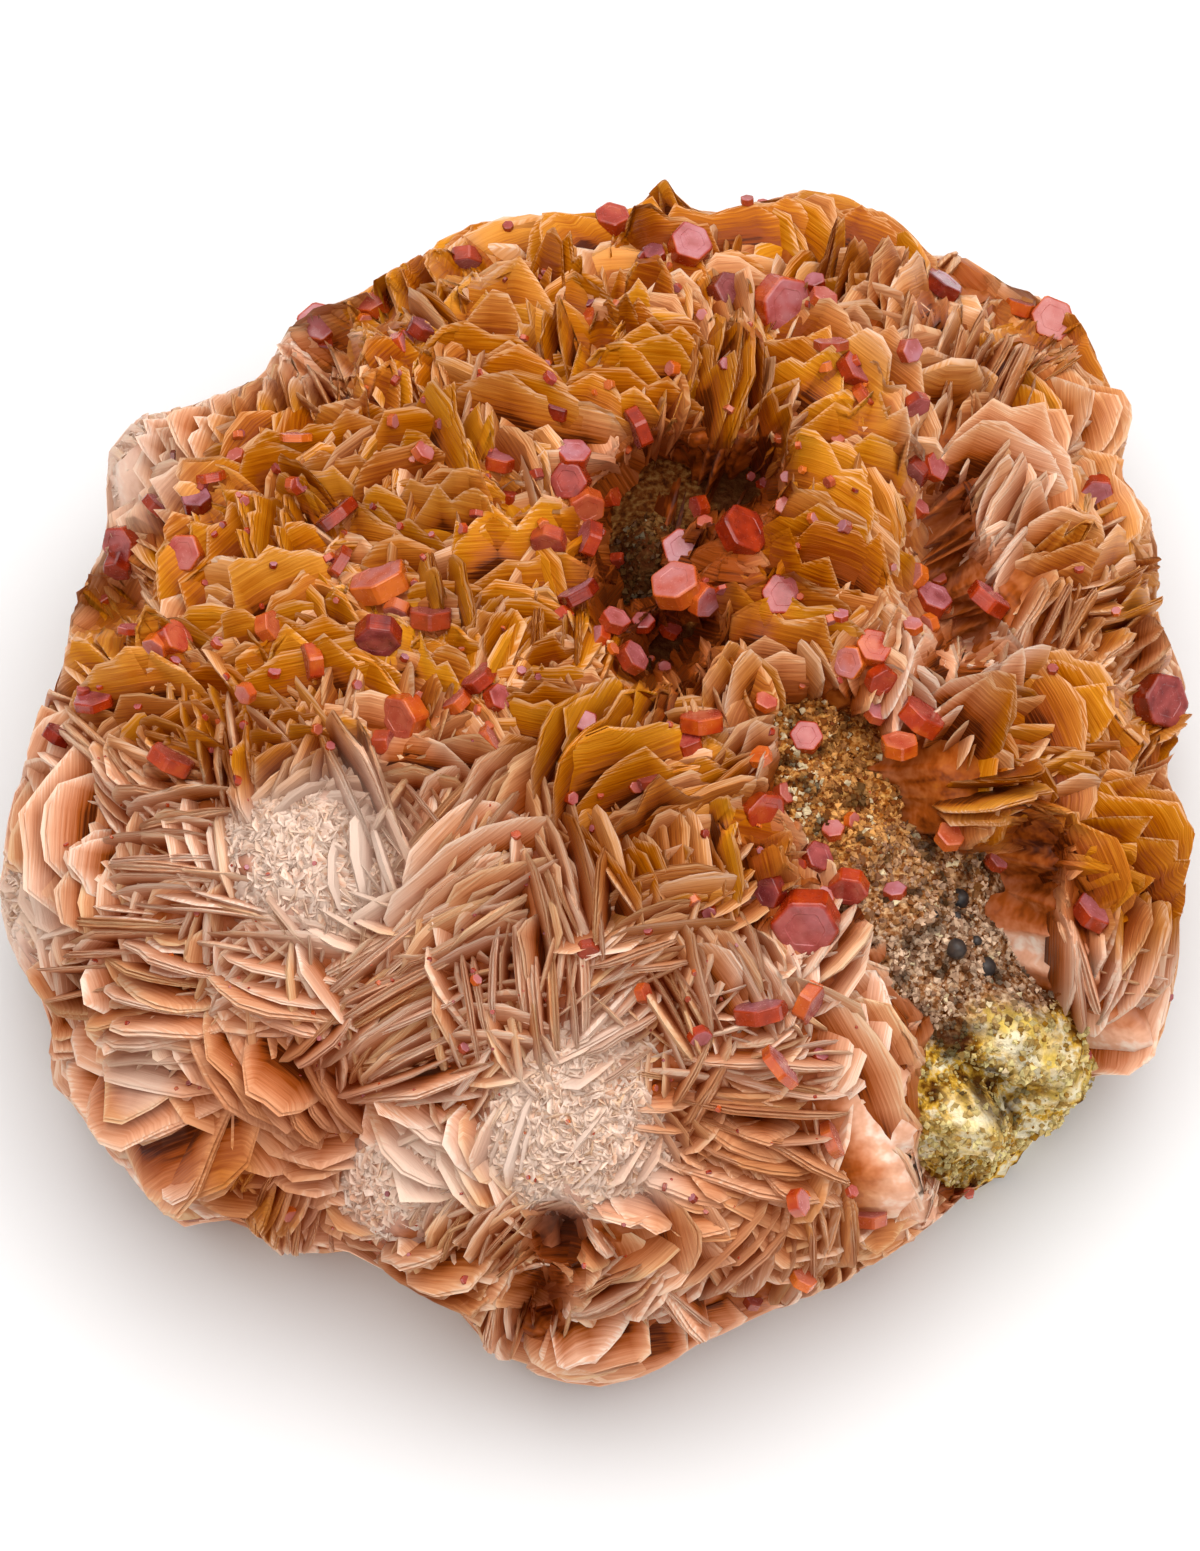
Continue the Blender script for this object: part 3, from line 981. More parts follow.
def makeBlades(name, frames, kind):
    # frames holds foot, edge, outward, length and height; each blade's tone and stain are its own
    rng = np.random.default_rng(kind["seed"])
    count = len(frames[0])
    points, rim, grain = bladeArrays(frames, kind, rng)

    def whole(values):
        # one value a blade, repeated over the blade's points
        return np.broadcast_to(values, rim.shape).reshape(-1)

    flat = holdInBox(holdInOutline(keepOutside(points.reshape(-1, 3), openPlaces)))
    tone = whole(rng.normal(kind["tone"], bladeShape["tonePlay"], (count, 1, 1)))
    wander = bladeShape["toneWander"] * softNoise(flat, *bladeShape["toneNoise"])
    look = surfaceLook(flat, rim.reshape(-1), np.clip(tone + wander, 0, 1))
    look[:, 1] = np.clip(look[:, 1] * whole(rng.uniform(*kind["stained"], (count, 1, 1))), 0, 1)
    if "whiteness" in kind:
        look[:, 3] = whole(rng.uniform(*kind["whiteness"], (count, 1, 1)))
    return newPiece(name, flat, bladeFaces(count, kind), bariteFinish, True,
                    {"look": look, "grain": grain.reshape(-1, 3)}, ["barite_blades"], "barite",
                    len(sections[kind["section"]]["rise"]))


def openShare(points):
    # 1 where the crust is open over the rock or is massive, 0 where blades grow
    u, v, w = faceCoordinates(points)
    return np.maximum(windowDepth(u, v)[0], blobs(massivePatches, u, v)) * inFront(w)


# where the vanadinite sits: one row of crystals for each solid, and for each crystal u, v, radius,
# thickness, lean of its axis from the view, direction of that lean, spin
vanadinite = [
    [(-39.6, 19.2, 1.7, 1.7, 40, 200, 10), (-40, 17.4, 1.3, 1.4, 60, 250, 30)],
    [(-42, 14.6, 1.8, 1.6, 55, 120, 0), (-40, 15.2, 1.2, 1.2, 70, 90, 20)],
    [(-33.2, 22.6, 1.4, 1.2, 50, 100, 12), (-32, 24.6, 1.3, 0.8, 82, 100, 0)],
    [(-34, 18.3, 1.7, 1.6, 24, 190, 5)],
    [(-21.6, 21.4, 2.1, 1.1, 84, 128, 0)],
    [(-21.4, 17.4, 1.6, 1, 80, 148, 15)],
    [(-18, 15.8, 2.7, 1.9, 66, 115, 8)],
    [(-18, 11.4, 2, 1.7, 52, 265, 20)],
    [(-13.8, 12.9, 2, 1.5, 74, 90, 0)],
    [(-27, 12.1, 1.4, 1.3, 60, 20, 30)],
    [(-34.9, 11.2, 1.6, 1.6, 45, 30, 0), (-36.3, 10.6, 1.2, 1.2, 50, 230, 20)],
    [(-23.4, 9.3, 1.7, 1.3, 76, 190, 0)],
    [(-41.5, 6.2, 1.8, 0.9, 62, 105, 0)],
    [(-34.9, 1.2, 2.1, 1.3, 74, 63, 0)],
    [(-11.2, 43.2, 1.5, 1.4, 60, 270, 0)],
    [(-19, 39.4, 1.5, 1.3, 55, 120, 0)],
    [(-16.4, 35.6, 1.3, 1.4, 60, 20, 0), (-14.8, 36.9, 1.3, 1.2, 70, 60, 10)],
    [(-23.6, 37.9, 1.9, 1.4, 26, 110, 0), (-22.8, 35.9, 1.4, 1.6, 50, 250, 20)],
    [(1, 46.4, 1.6, 1.6, 50, 90, 0), (3.4, 45.2, 1.2, 1.1, 50, 40, 10)],
    [(7.4, 44, 1.9, 1.9, 32, 60, 0)],
    [(10.4, 40.2, 1.7, 1.6, 42, 20, 10)],
    [(15, 39.2, 2.6, 2.2, 34, 340, 10)],
    [(-1.2, 39.7, 1.2, 1, 30, 100, 0), (-0.7, 37.5, 1.4, 1.2, 70, 10, 0)],
    [(-3.4, 30.1, 1.3, 1.2, 60, 80, 0)],
    [(3.1, 28.6, 1.9, 1.2, 80, 205, 0)],
    [(-2.4, 24.2, 1.7, 1.8, 16, 200, 8), (-2.2, 26.2, 1.6, 1.4, 50, 80, 20),
     (-1.2, 22.1, 1.6, 1.5, 38, 290, 0)],
    [(-8.2, 25.9, 1.6, 1.2, 65, 80, 0), (-7.3, 22.9, 1.2, 1.3, 62, 90, 0)],
    [(-4.2, 19.2, 1.6, 1.3, 55, 260, 0)],
    [(-0.9, 19.4, 1.7, 1.2, 70, 160, 0)],
    [(6.8, 18.6, 1.8, 1.3, 18, 80, 0)],
    [(11.6, 19.9, 2.3, 1.6, 48, 40, 0)],
    [(14.8, 14.7, 1.9, 1.5, 16, 30, 12)],
    [(6.3, 15.4, 2.2, 1.9, 44, 115, 0), (8.5, 14.3, 1.5, 1.2, 50, 330, 12)],
    [(-1.8, 14.9, 1.9, 1.1, 76, 118, 0)],
    [(1.2, 12.6, 1.3, 1.1, 55, 60, 0), (-0.1, 11.2, 1.1, 1.1, 60, 150, 0),
     (2.6, 9.6, 1.5, 1.2, 60, 30, 0)],
    [(-9.8, 7.9, 1.5, 1.2, 68, 130, 0), (-8.3, 6.3, 1.2, 1.1, 40, 20, 0),
     (-11.6, 6, 1.3, 1.1, 70, 130, 20)],
    [(-15.8, 4.8, 2.1, 1.9, 48, 200, 0), (-17.6, 2.6, 1.2, 1.4, 70, 0, 0)],
    [(8.2, 4.4, 2, 1.4, 72, 92, 0), (6.9, 2.6, 1.6, 1.2, 60, 100, 0)],
    [(13.2, -3, 2, 1.6, 40, 330, 12)],
    [(16.7, -11.8, 2.9, 2.4, 34, 260, 15), (13.8, -9.4, 1.5, 1.2, 45, 200, 0)],
    [(17.5, -6.7, 1.4, 1.4, 40, 30, 0), (20.2, -9, 1.7, 1.5, 45, 260, 10),
     (17.9, -10, 1.2, 1, 30, 60, 0)],
    [(16.8, 3.1, 1.4, 1.2, 20, 90, 10)],
    [(20.3, 9.3, 1.5, 1.3, 24, 200, 0), (22.3, 10.4, 1.6, 1.3, 28, 60, 10),
     (22.9, 7.8, 1.4, 1.2, 45, 300, 0)],
    [(27.4, 14.4, 1.6, 1.4, 50, 60, 0), (26, 16.4, 1.2, 1, 50, 150, 0)],
    [(32, 14.4, 2, 1.4, 78, 52, 0)],
    [(25.8, 25.2, 1.6, 1.4, 55, 230, 0), (27.6, 25.6, 1.4, 1.1, 50, 10, 0)],
    [(21, 33.6, 1.7, 1.3, 55, 30, 0), (21.9, 31.2, 1.5, 1, 74, 35, 0)],
    [(28.6, 41, 1.9, 1.3, 74, 55, 0)],
    [(38, 38.2, 2.1, 1.6, 24, 60, 0), (35.2, 39.6, 1.7, 1.2, 74, 70, 0)],
    [(41.2, 23.6, 1.6, 1.4, 36, 280, 15)],
    [(46.4, 6.2, 2.6, 2, 40, 0, 10)],
    [(26.2, 4.7, 2.1, 1.6, 70, 52, 0), (24.4, 2.4, 1.6, 1.3, 60, 90, 0)],
    [(40.2, -11.2, 1.8, 1.4, 60, 50, 0)],
    [(13, -19, 2.3, 1.4, 72, 100, 0), (16.9, -18.3, 1.9, 1.3, 74, 330, 0)],
]


def crystalAxes(lean, turn):
    # cos(lean) along the show face's normal, and sin(lean) along the direction turn within the face
    lean, turn = np.radians(lean)[:, None], np.radians(turn)[:, None]
    return unit(np.cos(lean) * axisN + np.sin(lean) * (np.cos(turn) * axisU + np.sin(turn) * axisV))


# decimals that join a solid's corners, and the share of a crystal's radius within which they are its own
solidReach = {"round": 3, "within": 1.15}


def solidCrystals():
    # rows of middle, radius, thickness, lean, turn and spin, the middles measured on the solids
    middles, rows, names = [], [], []
    for number, cluster in enumerate(vanadinite, 1):
        kind = "crystal" if len(cluster) == 1 else "cluster"
        name = f"vanadinite_{kind}_{number:02d}"
        names.append(name)
        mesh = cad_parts[name].data
        corners = np.zeros(len(mesh.vertices) * 3)
        mesh.vertices.foreach_get("co", corners)
        corners = np.unique(np.round(corners.reshape(-1, 3) * perMetre, solidReach["round"]), axis=0)
        for u, v, radius, thickness, lean, turn, spin in cluster:
            middle = corners.mean(axis=0)
            if len(cluster) > 1:
                cu, cv, cw = faceCoordinates(corners)
                near = np.hypot(cu - u, cv - v) < solidReach["within"] * radius
                rise = cw[near].mean() if near.any() else cw.mean()
                middle = faceCentre + u * axisU + v * axisV + rise * axisN
            middles.append(middle)
            rows.append((radius, thickness, lean, turn, spin))
    return np.array(middles), np.array(rows, float), names


def clearingPlaces():
    # each clearing's middle lies its own depth, and a little more, under the plain lump
    rows = np.array(clearings)
    height = faceCoordinates(facePoints(rows[:, 0], rows[:, 1]))[2]
    return np.stack([rows[:, 0], rows[:, 1], height - rows[:, 3] - keepClear["under"], rows[:, 2]], axis=1)


solidMiddles, solidRows, solidNames = solidCrystals()
solidPlaces = np.stack([*faceCoordinates(solidMiddles), solidRows[:, 0]], axis=1)
openPlaces = np.concatenate([solidPlaces, clearingPlaces()])
ground = makeGround()

# the large stacks, those under the stain being more open; scale changes each row's seven values
paleKind = {
    "scale": [1, 1, 1, 1, 1.2, 0.8, 1.1],
    "pitch": 1.1,
    "fanSeed": 4,
    "seed": 21,
    "section": "bundle",
    "columns": 9,
    "thickness": (0.45, 1.25),
    "squareness": (1.2, 5.0),
    "roundness": (0.55, 1.15),
    "notches": 0.25,
    "rimPlay": 0.03,
    "taper": 0.75,
    "tone": 0.5,
    "stained": (0.5, 1.1),
}
stainedKind = {
    "stainFrom": 0.5,
    "scale": [1, 1, 1, 1, 1.3, 0.6, 1.25],
    "pitch": 1.35,
    "fanSeed": 5,
    "seed": 25,
    "section": "bundle",
    "columns": 13,
    "thickness": (0.4, 1.05),
    "squareness": (1.2, 4.0),
    "roundness": (0.5, 1.05),
    "notches": 0.45,
    "rimPlay": 0.045,
    "taper": 0.75,
    "tone": 0.45,
    "stained": (0.85, 1.2),
}
allStacks = np.array(stacks, float)
isStained = blobs(stainPatches, allStacks[:, 0], allStacks[:, 1]) >= stainedKind["stainFrom"]
paleStacks = allStacks[~isStained] * paleKind["scale"]
stainedStacks = allStacks[isStained] * stainedKind["scale"]
paleBlades = makeBlades("baritePaleBlades", fanOut(paleStacks, paleKind), paleKind)
stainedBlades = makeBlades("bariteStainedBlades", fanOut(stainedStacks, stainedKind), stainedKind)

# small stacks that fill the ground between the large ones
carpet = {
    "gridPitch": 3.0,
    "reach": 52.0,
    "jitter": 1.2,
    "margin": 0.5,
    "length": (4.5, 11.0),
    "width": (2.0, 4.8),
    "height": (1.8, 4.6),
    "turns": [0.0, 0.0, 0.0, 55.0, -55.0, 90.0],
    "turnPlay": 12.0,
    "leanPlay": 14.0,
    "open": 0.4,
    "tableSeed": 8,
    "pitch": 1.15,
    "fanSeed": 9,
    "seed": 22,
    "section": "plate",
    "columns": 7,
    "thickness": (0.4, 1.2),
    "squareness": (1.1, 3.5),
    "roundness": (0.6, 1.3),
    "notches": 0.2,
    "rimPlay": 0.03,
    "taper": 0.8,
    "tone": 0.44,
    "stained": (0.4, 1.3),
}


def carpetTable():
    # a jittered square grid over the show face, each stack turned to or across the nearest large one
    rng = np.random.default_rng(carpet["tableSeed"])
    across = np.arange(-carpet["reach"], carpet["reach"], carpet["gridPitch"])
    u, v = (grid.ravel() for grid in np.meshgrid(across, across))
    u = u + rng.uniform(-carpet["jitter"], carpet["jitter"], len(u))
    v = v + rng.uniform(-carpet["jitter"], carpet["jitter"], len(v))
    bearing = np.degrees(np.arctan2(v, u)) % 360.0
    keep = np.hypot(u, v) < outlineRadius(bearing) - carpet["margin"]
    u, v = u[keep], v[keep]
    nearest = np.argmin((u[:, None] - allStacks[:, 0]) ** 2 + (v[:, None] - allStacks[:, 1]) ** 2, axis=1)
    turn = rng.choice(carpet["turns"], len(u)) + rng.normal(0.0, carpet["turnPlay"], len(u))
    size = rng.random(len(u))
    length, width, height = (between(carpet[key], size) for key in ("length", "width", "height"))
    lean = allStacks[nearest, 5] * np.cos(np.radians(turn)) + rng.normal(0.0, carpet["leanPlay"], len(u))
    table = np.stack([u, v, allStacks[nearest, 2] + turn, length, width, lean, height], axis=1)
    return table[openShare(facePoints(u, v)) < carpet["open"]]


carpetBlades = makeBlades("bariteSmallBlades", fanOut(carpetTable(), carpet), carpet)

# stacks round the sides and back
rear = {
    "places": 1500,
    "length": (7.0, 15.0),
    "width": (3.5, 6.5),
    "height": (2.2, 4.0),
    "lean": 34.0,
    "lowest": 3.0,
    "facing": 0.22,
    "windowSide": 0.2,
    "open": 0.2,
    "guide": (0.31, 0.17, 0.93),  # any direction that no normal lies along
    "slide": 0.1,
    "lengthPlay": (0.9, 0.14, 0.5, 1.2),
    "heightPlay": (0.9, 0.15, 0.5, 1.1),
    "frameSeed": 14,
    "pitch": 1.15,
    "seed": 23,
    "section": "plate",
    "columns": 7,
    "thickness": (0.7, 1.25),
    "squareness": (1.3, 5.0),
    "roundness": (0.55, 1.1),
    "notches": 0.2,
    "rimPlay": 0.03,
    "taper": 0.7,
    "tone": 0.5,
    "stained": (0.5, 1.1),
}


def rearFrames():
    # stacks at evenly spread directions (a golden-angle spiral) wherever the show face's stacks don't reach
    rng = np.random.default_rng(rear["frameSeed"])
    count = rear["places"]
    up = 1.0 - 2.0 * (np.arange(count) + 0.5) / count
    turn = np.arange(count) * math.pi * (3.0 - math.sqrt(5.0))
    level = np.sqrt(1.0 - up**2)
    directions = np.stack([level * np.cos(turn), level * np.sin(turn), up], axis=1)
    points = lump["centre"] + directions * baseRadius(directions, lump["underDepth"])[:, None]
    normal = lumpNormals(points)
    u, v, _ = faceCoordinates(points)
    opened = windowDepth(u, v)[0] * (normal[:, 1] < rear["windowSide"])
    keep = (normal @ axisN < rear["facing"]) & (points[:, 2] > rear["lowest"]) & (opened < rear["open"])
    points, normal = points[keep], normal[keep]
    side = unit(np.cross(normal, rear["guide"]))
    angle = rng.uniform(0.0, 2.0 * math.pi, len(points))[:, None]
    edge = np.cos(angle) * side + np.sin(angle) * np.cross(normal, side)
    across = np.cross(normal, edge)
    lean = np.radians(rng.uniform(-rear["lean"], rear["lean"], len(points)))[:, None]
    outward = np.cos(lean) * normal + np.sin(lean) * across
    size = rng.random(len(points))
    length, width, height = (between(rear[key], size) for key in ("length", "width", "height"))
    row, place = sideBySide(np.maximum(np.round(width / rear["pitch"]).astype(int), 2))
    play = rng.standard_normal((3, len(row)))
    aside, along = place * rear["pitch"], rear["slide"] * length[row] * play[0]
    foot = points[row] + across[row] * aside[:, None] + edge[row] * along[:, None]
    return (foot, edge[row], outward[row], varied(length[row], play[1], rear["lengthPlay"]),
            varied(height[row], play[2], rear["heightPlay"]))


makeBlades("bariteRearBlades", rearFrames(), rear)


def strewOver(patches, weights, count, reach, rng):
    # u and v even over round patches: the turn even, and the distance the square root of an even share
    share = patches[:, 2] ** 2 * weights
    pick = rng.choice(len(patches), count, p=share / share.sum())
    turn, far = rng.uniform(0.0, 2.0 * math.pi, count), reach * np.sqrt(rng.random(count))
    return (patches[pick, 0] + patches[pick, 2] * far * np.cos(turn),
            patches[pick, 1] + patches[pick, 2] * far * np.sin(turn))


# broken blades strewn over the white patches
splinters = {
    "count": 6500,
    "length": (0.6, 2.4),
    "height": (0.25, 1.0),
    "lean": 65.0,
    "frameSeed": 17,
    "seed": 24,
    "section": "shard",
    "columns": 3,
    "thickness": (0.35, 1.1),
    "squareness": (1.0, 2.0),
    "roundness": (0.8, 1.3),
    "notches": 0.2,
    "rimPlay": 0.0,
    "taper": 0.6,
    "tone": 0.6,
    "stained": (0.2, 1.0),
    "whiteness": (0.15, 1.0),
}


def splinterFrames():
    # places even over each white patch, raised with the swells, the edges in every direction
    rng = np.random.default_rng(splinters["frameSeed"])
    patches = np.array(whitePatches)
    u, v = strewOver(patches, patches[:, 3], splinters["count"], 1.0, rng)
    points = facePoints(u, v)
    points = points + domes(swells, u, v)[:, None] * lumpNormals(points)
    lean = rng.uniform(-splinters["lean"], splinters["lean"], len(u))
    edge, _, outward = stackFrames(points, rng.uniform(0.0, 360.0, len(u)), lean)
    size = rng.random(len(u))
    return points, edge, outward, between(splinters["length"], size), between(splinters["height"], size)


splinterBlades = makeBlades("bariteSplinters", splinterFrames(), splinters)

# the matrix rock; boulders are u, v, radius, height, and the patches of ground u, v, radius, strength
rockShape = {
    "rows": 210,
    "columns": 250,
    "rough": 1.4,
    "roughNoise": (3.4, 51, 4),
    "middle": 0.35,
    "covered": 0.4,
    "opened": 0.6,
    "pits": 0.9,
    "pitNoise": (1.1, 61),
    "pitSpan": (-0.75, 0.15),
    "wobble": 2.0,
    "wobbleNoise": (4.0, 41),
    "wobbleUp": 0.7,
    "oliveSpan": (0.25, 0.75),
    "olivePits": 0.5,
    "plain": 0.05,
}
boulders = [
    (31, -28.3, 2.7, 2.2), (34.8, -22.6, 3.6, 1.7), (28, -22.3, 2, -2.2), (31, -25.2, 1.6, -2),
    (34.3, -26.6, 1.8, -1.8), (28.2, -32, 2.4, 0.8), (38, -25.2, 1.6, 0.8), (5.5, 24.6, 2.8, 3.4),
    (17.5, 3.6, 1.8, 1), (18.4, -0.4, 1.6, 1.2), (24, -6, 2.2, 0.9), (27, -13.5, 2.6, 0.9),
]
rustPatches = [(18, 2, 10, 1), (24, -4, 8, 1), (4, 20, 12, 1), (5, 11, 5, 1), (29, 17, 12, 1)]
plumPatches = [(27, -12, 8, 1), (33, -10, 8, 1), (28, -17, 6, 1), (33, -15, 6, 1), (-4, -40, 8, 0.7)]
olivePatches = [(33, -26, 8.5, 1), (31, -31, 7, 1), (37, -24, 6, 1)]
yellowPatches = [
    (31, -28.2, 2.6, 1), (32.6, -21.2, 2.4, 0.9), (35.5, -20.8, 2.4, 0.9), (38.2, -25, 1.8, 0.8),
    (35.6, -23.6, 2, 0.8), (26.5, -30, 1.5, 0.5),
]


def rockZones(points):
    # yellow, plum, olive and dark shares at each point, the patches' edges moved by noise, with dark pits
    u, v, _ = faceCoordinates(points)
    wobble = rockShape["wobble"] * roughNoise(points, *rockShape["wobbleNoise"])
    u, v = u + wobble, v + rockShape["wobbleUp"] * wobble
    rust, plum, olive = (blobs(patches, u, v) for patches in (rustPatches, plumPatches, olivePatches))
    other = np.maximum(np.maximum(rust, plum), 0.001)
    pits = 1.0 - ease(*rockShape["pitSpan"], softNoise(points, *rockShape["pitNoise"]))
    oliveShare = ease(*rockShape["oliveSpan"], olive / (olive + other))
    pits = rockShape["pits"] * pits * (1.0 - rockShape["olivePits"] * oliveShare)
    dark = np.maximum(blobs(darkPatches, u, v), pits)
    plumShare = plum / (plum + rust + rockShape["plain"])
    return np.stack([blobs(yellowPatches, u, v), plumShare, oliveShare, dark], axis=-1)


def rockRadius(directions):
    # lump - crust, raised to each window's depth, with knobs, and rough at halving scales
    radius = baseRadius(directions, lump["rockUnderDepth"])
    u, v, w = faceCoordinates(lump["centre"] + directions * radius[:, None])
    facing = inFront(w)
    opened, depth = windowDepth(u, v)
    opened = opened * facing
    raised = opened * (lump["crust"] - depth)
    radius = radius - lump["crust"] + raised + facing * domes(knobs + boulders, u, v)
    start = directions * radius[:, None]
    rough = roughNoise(start, *rockShape["roughNoise"]) - rockShape["middle"]
    return radius + rockShape["rough"] * rough * (rockShape["covered"] + rockShape["opened"] * opened)


def makeRock():
    # the round grid at rockRadius, cut flat underneath
    directions, faces = roundGrid(rockShape["rows"], rockShape["columns"])
    radius = np.minimum(rockRadius(directions), reachDown(directions, lump["centre"][2]))
    points = holdInBox(lump["centre"] + directions * radius[:, None])
    return newPiece("matrixRock", points, faces, rockFinish, True, {"zone": rockZones(points)},
                    ["matrix_rock"], "matrix")


rock = makeRock()

# druzy grains; tints are the darkest colour, what the palest adds, and a power that favours the dark
grains = {
    "seed": 33,
    "count": 13500,
    "reach": 1.1,
    "size": (0.09, 0.42),
    "smallness": 2.5,
    "stretch": 0.5,
    "oliveBelow": -21.0,
    "oliveShare": 0.8,
    "tints": [((0.19, 0.034, 0.001), (0.76, 0.42, 0.13), 1.5),
              ((0.15, 0.042, 0.008), (0.84, 0.66, 0.48), 1.4),
              ((0.42, 0.19, 0.004), (0.58, 0.66, 0.38), 1.0)],
    "pale": (0.90, 0.72, 0.44),
    "paleShare": 0.04,
    "palePatchShare": 0.3,
    "palePatches": [(18, 0, 2.5, 1), (17, 4, 2, 1), (19, -4, 2, 1)],
    "pitDark": 0.95,
    "corners": [(0, 2, 4), (2, 1, 4), (1, 3, 4), (3, 0, 4), (2, 0, 5), (1, 2, 5), (3, 1, 5), (0, 3, 5)],
}


def makeGrains():
    # six-cornered grains on the open rock: corners at +-size along three turned axes
    rng = np.random.default_rng(grains["seed"])
    patches = np.array([window[:3] for window in windows])
    weights = np.where(patches[:, 1] < grains["oliveBelow"], grains["oliveShare"], 1.0)
    u, v = strewOver(patches, weights, grains["count"], grains["reach"], rng)
    directions = unit(facePoints(u, v) - lump["centre"])
    points = lump["centre"] + directions * rockRadius(directions)[:, None]
    first = unit(rng.standard_normal((len(u), 3)))
    second = unit(np.cross(first, rng.standard_normal((len(u), 3))))
    third = np.cross(first, second)
    size = between(grains["size"], rng.random(len(u)) ** grains["smallness"])[:, None]
    long = size * (1.0 + grains["stretch"] * rng.random((len(u), 1)))
    arms = [first * long, -first * long, second * size, -second * size, third * size, -third * size]
    corners = points[:, None, :] + np.stack(arms, axis=1)
    faces = (np.arange(len(u))[:, None, None] * len(arms) + np.array(grains["corners"])).reshape(-1, 3)
    zone = rockZones(points)
    rust, plum, gold = (np.array(dark) + rng.random((len(u), 1)) ** power * np.array(added)
                        for dark, added, power in grains["tints"])
    tint = rust * (1.0 - zone[:, 1:2]) + plum * zone[:, 1:2]
    tint = tint * (1.0 - zone[:, 2:3]) + gold * zone[:, 2:3]
    paleShare = grains["paleShare"] + grains["palePatchShare"] * blobs(grains["palePatches"], u, v)
    pale = (rng.random(len(u)) < paleShare)[:, None]
    tint = np.where(pale, np.array(grains["pale"]), tint) * (1.0 - grains["pitDark"] * zone[:, 3:4])
    tint = np.repeat(np.concatenate([tint, np.ones((len(u), 1))], axis=1), len(arms), axis=0)
    return newPiece("rockDruzy", holdInBox(corners.reshape(-1, 3)), faces, grainFinish, False,
                    {"tint": tint}, ["matrix_rock"], "matrix")


makeGrains()

# small black nodules on the open rock; places are u, v, radius
nodules = {
    "rows": 10,
    "columns": 14,
    "rough": 0.12,
    "roughNoise": (0.5, 81),
    "rise": 0.3,
    "places": [(35.2, -12.0, 0.95), (31.0, -15.0, 0.85), (34.3, -17.0, 0.95), (32.6, -12.8, 0.4),
               (29.4, -12.2, 0.35), (33.4, -14.6, 0.45)],
    "speckle": (900.0, 4000.0),
    "colour": [(0.35, (0.008, 0.008, 0.010)), (0.7, (0.06, 0.04, 0.03))],
    "roughness": (0.3, 0.7, 0.35, 0.7),
}


def noduleMaterial():
    # nearly black, with a brownish bloom in patches
    material, tree, shader = startMaterial("darkNodules")
    mottle, fine = speckle(tree, nodules["speckle"])
    link(tree, ramp(tree, mottle, nodules["colour"]), shader.inputs["Base Color"])
    link(tree, span(tree, fine, *nodules["roughness"]), shader.inputs["Roughness"])
    return material


def makeNodules():
    # balls, each radius * (1 + rough * noise), their middles rise * radius above the rock
    directions, faces = roundGrid(nodules["rows"], nodules["columns"])
    u, v, size = np.array(nodules["places"]).T
    toward = unit(facePoints(u, v) - lump["centre"])
    middles = lump["centre"] + toward * (rockRadius(toward) + nodules["rise"] * size)[:, None]
    points = middles[:, None, :] + size[:, None, None] * directions[None, :, :]
    rough = nodules["rough"] * softNoise(points, *nodules["roughNoise"])
    points = points + rough[..., None] * directions[None, :, :]
    step = (np.arange(len(size)) * len(directions))[:, None, None]
    groups = [(step + group[None]).reshape(-1, group.shape[1]) for group in faces]
    return newPiece("darkNodules", holdInBox(points.reshape(-1, 3)), groups, noduleMaterial(), True, None,
                    ["matrix_rock"], "matrix")


makeNodules()

# vanadinite prisms: (height, radius) pairs along the axis, and the bevels of the six edges
prismShape = {
    "profile": [(-1.0, 0.86), (-0.93, 0.965), (-0.84, 1.0), (0.84, 1.0), (0.93, 0.965), (1.0, 0.88),
                (1.0, 0.60), (0.955, 0.57)],
    "smallProfile": [(-1.0, 0.85), (-0.85, 1.0), (0.85, 1.0), (1.0, 0.87)],
    "seed": 62,
    "smallSeed": 73,
    "bevel": 4.5,
    "unevenness": 0.06,
    "guide": (0.27, 0.91, 0.31),  # any direction that no axis lies along
    "endFrom": 0.95,
    "bloom": 0.8,
    "patternStep": 7.0,
}
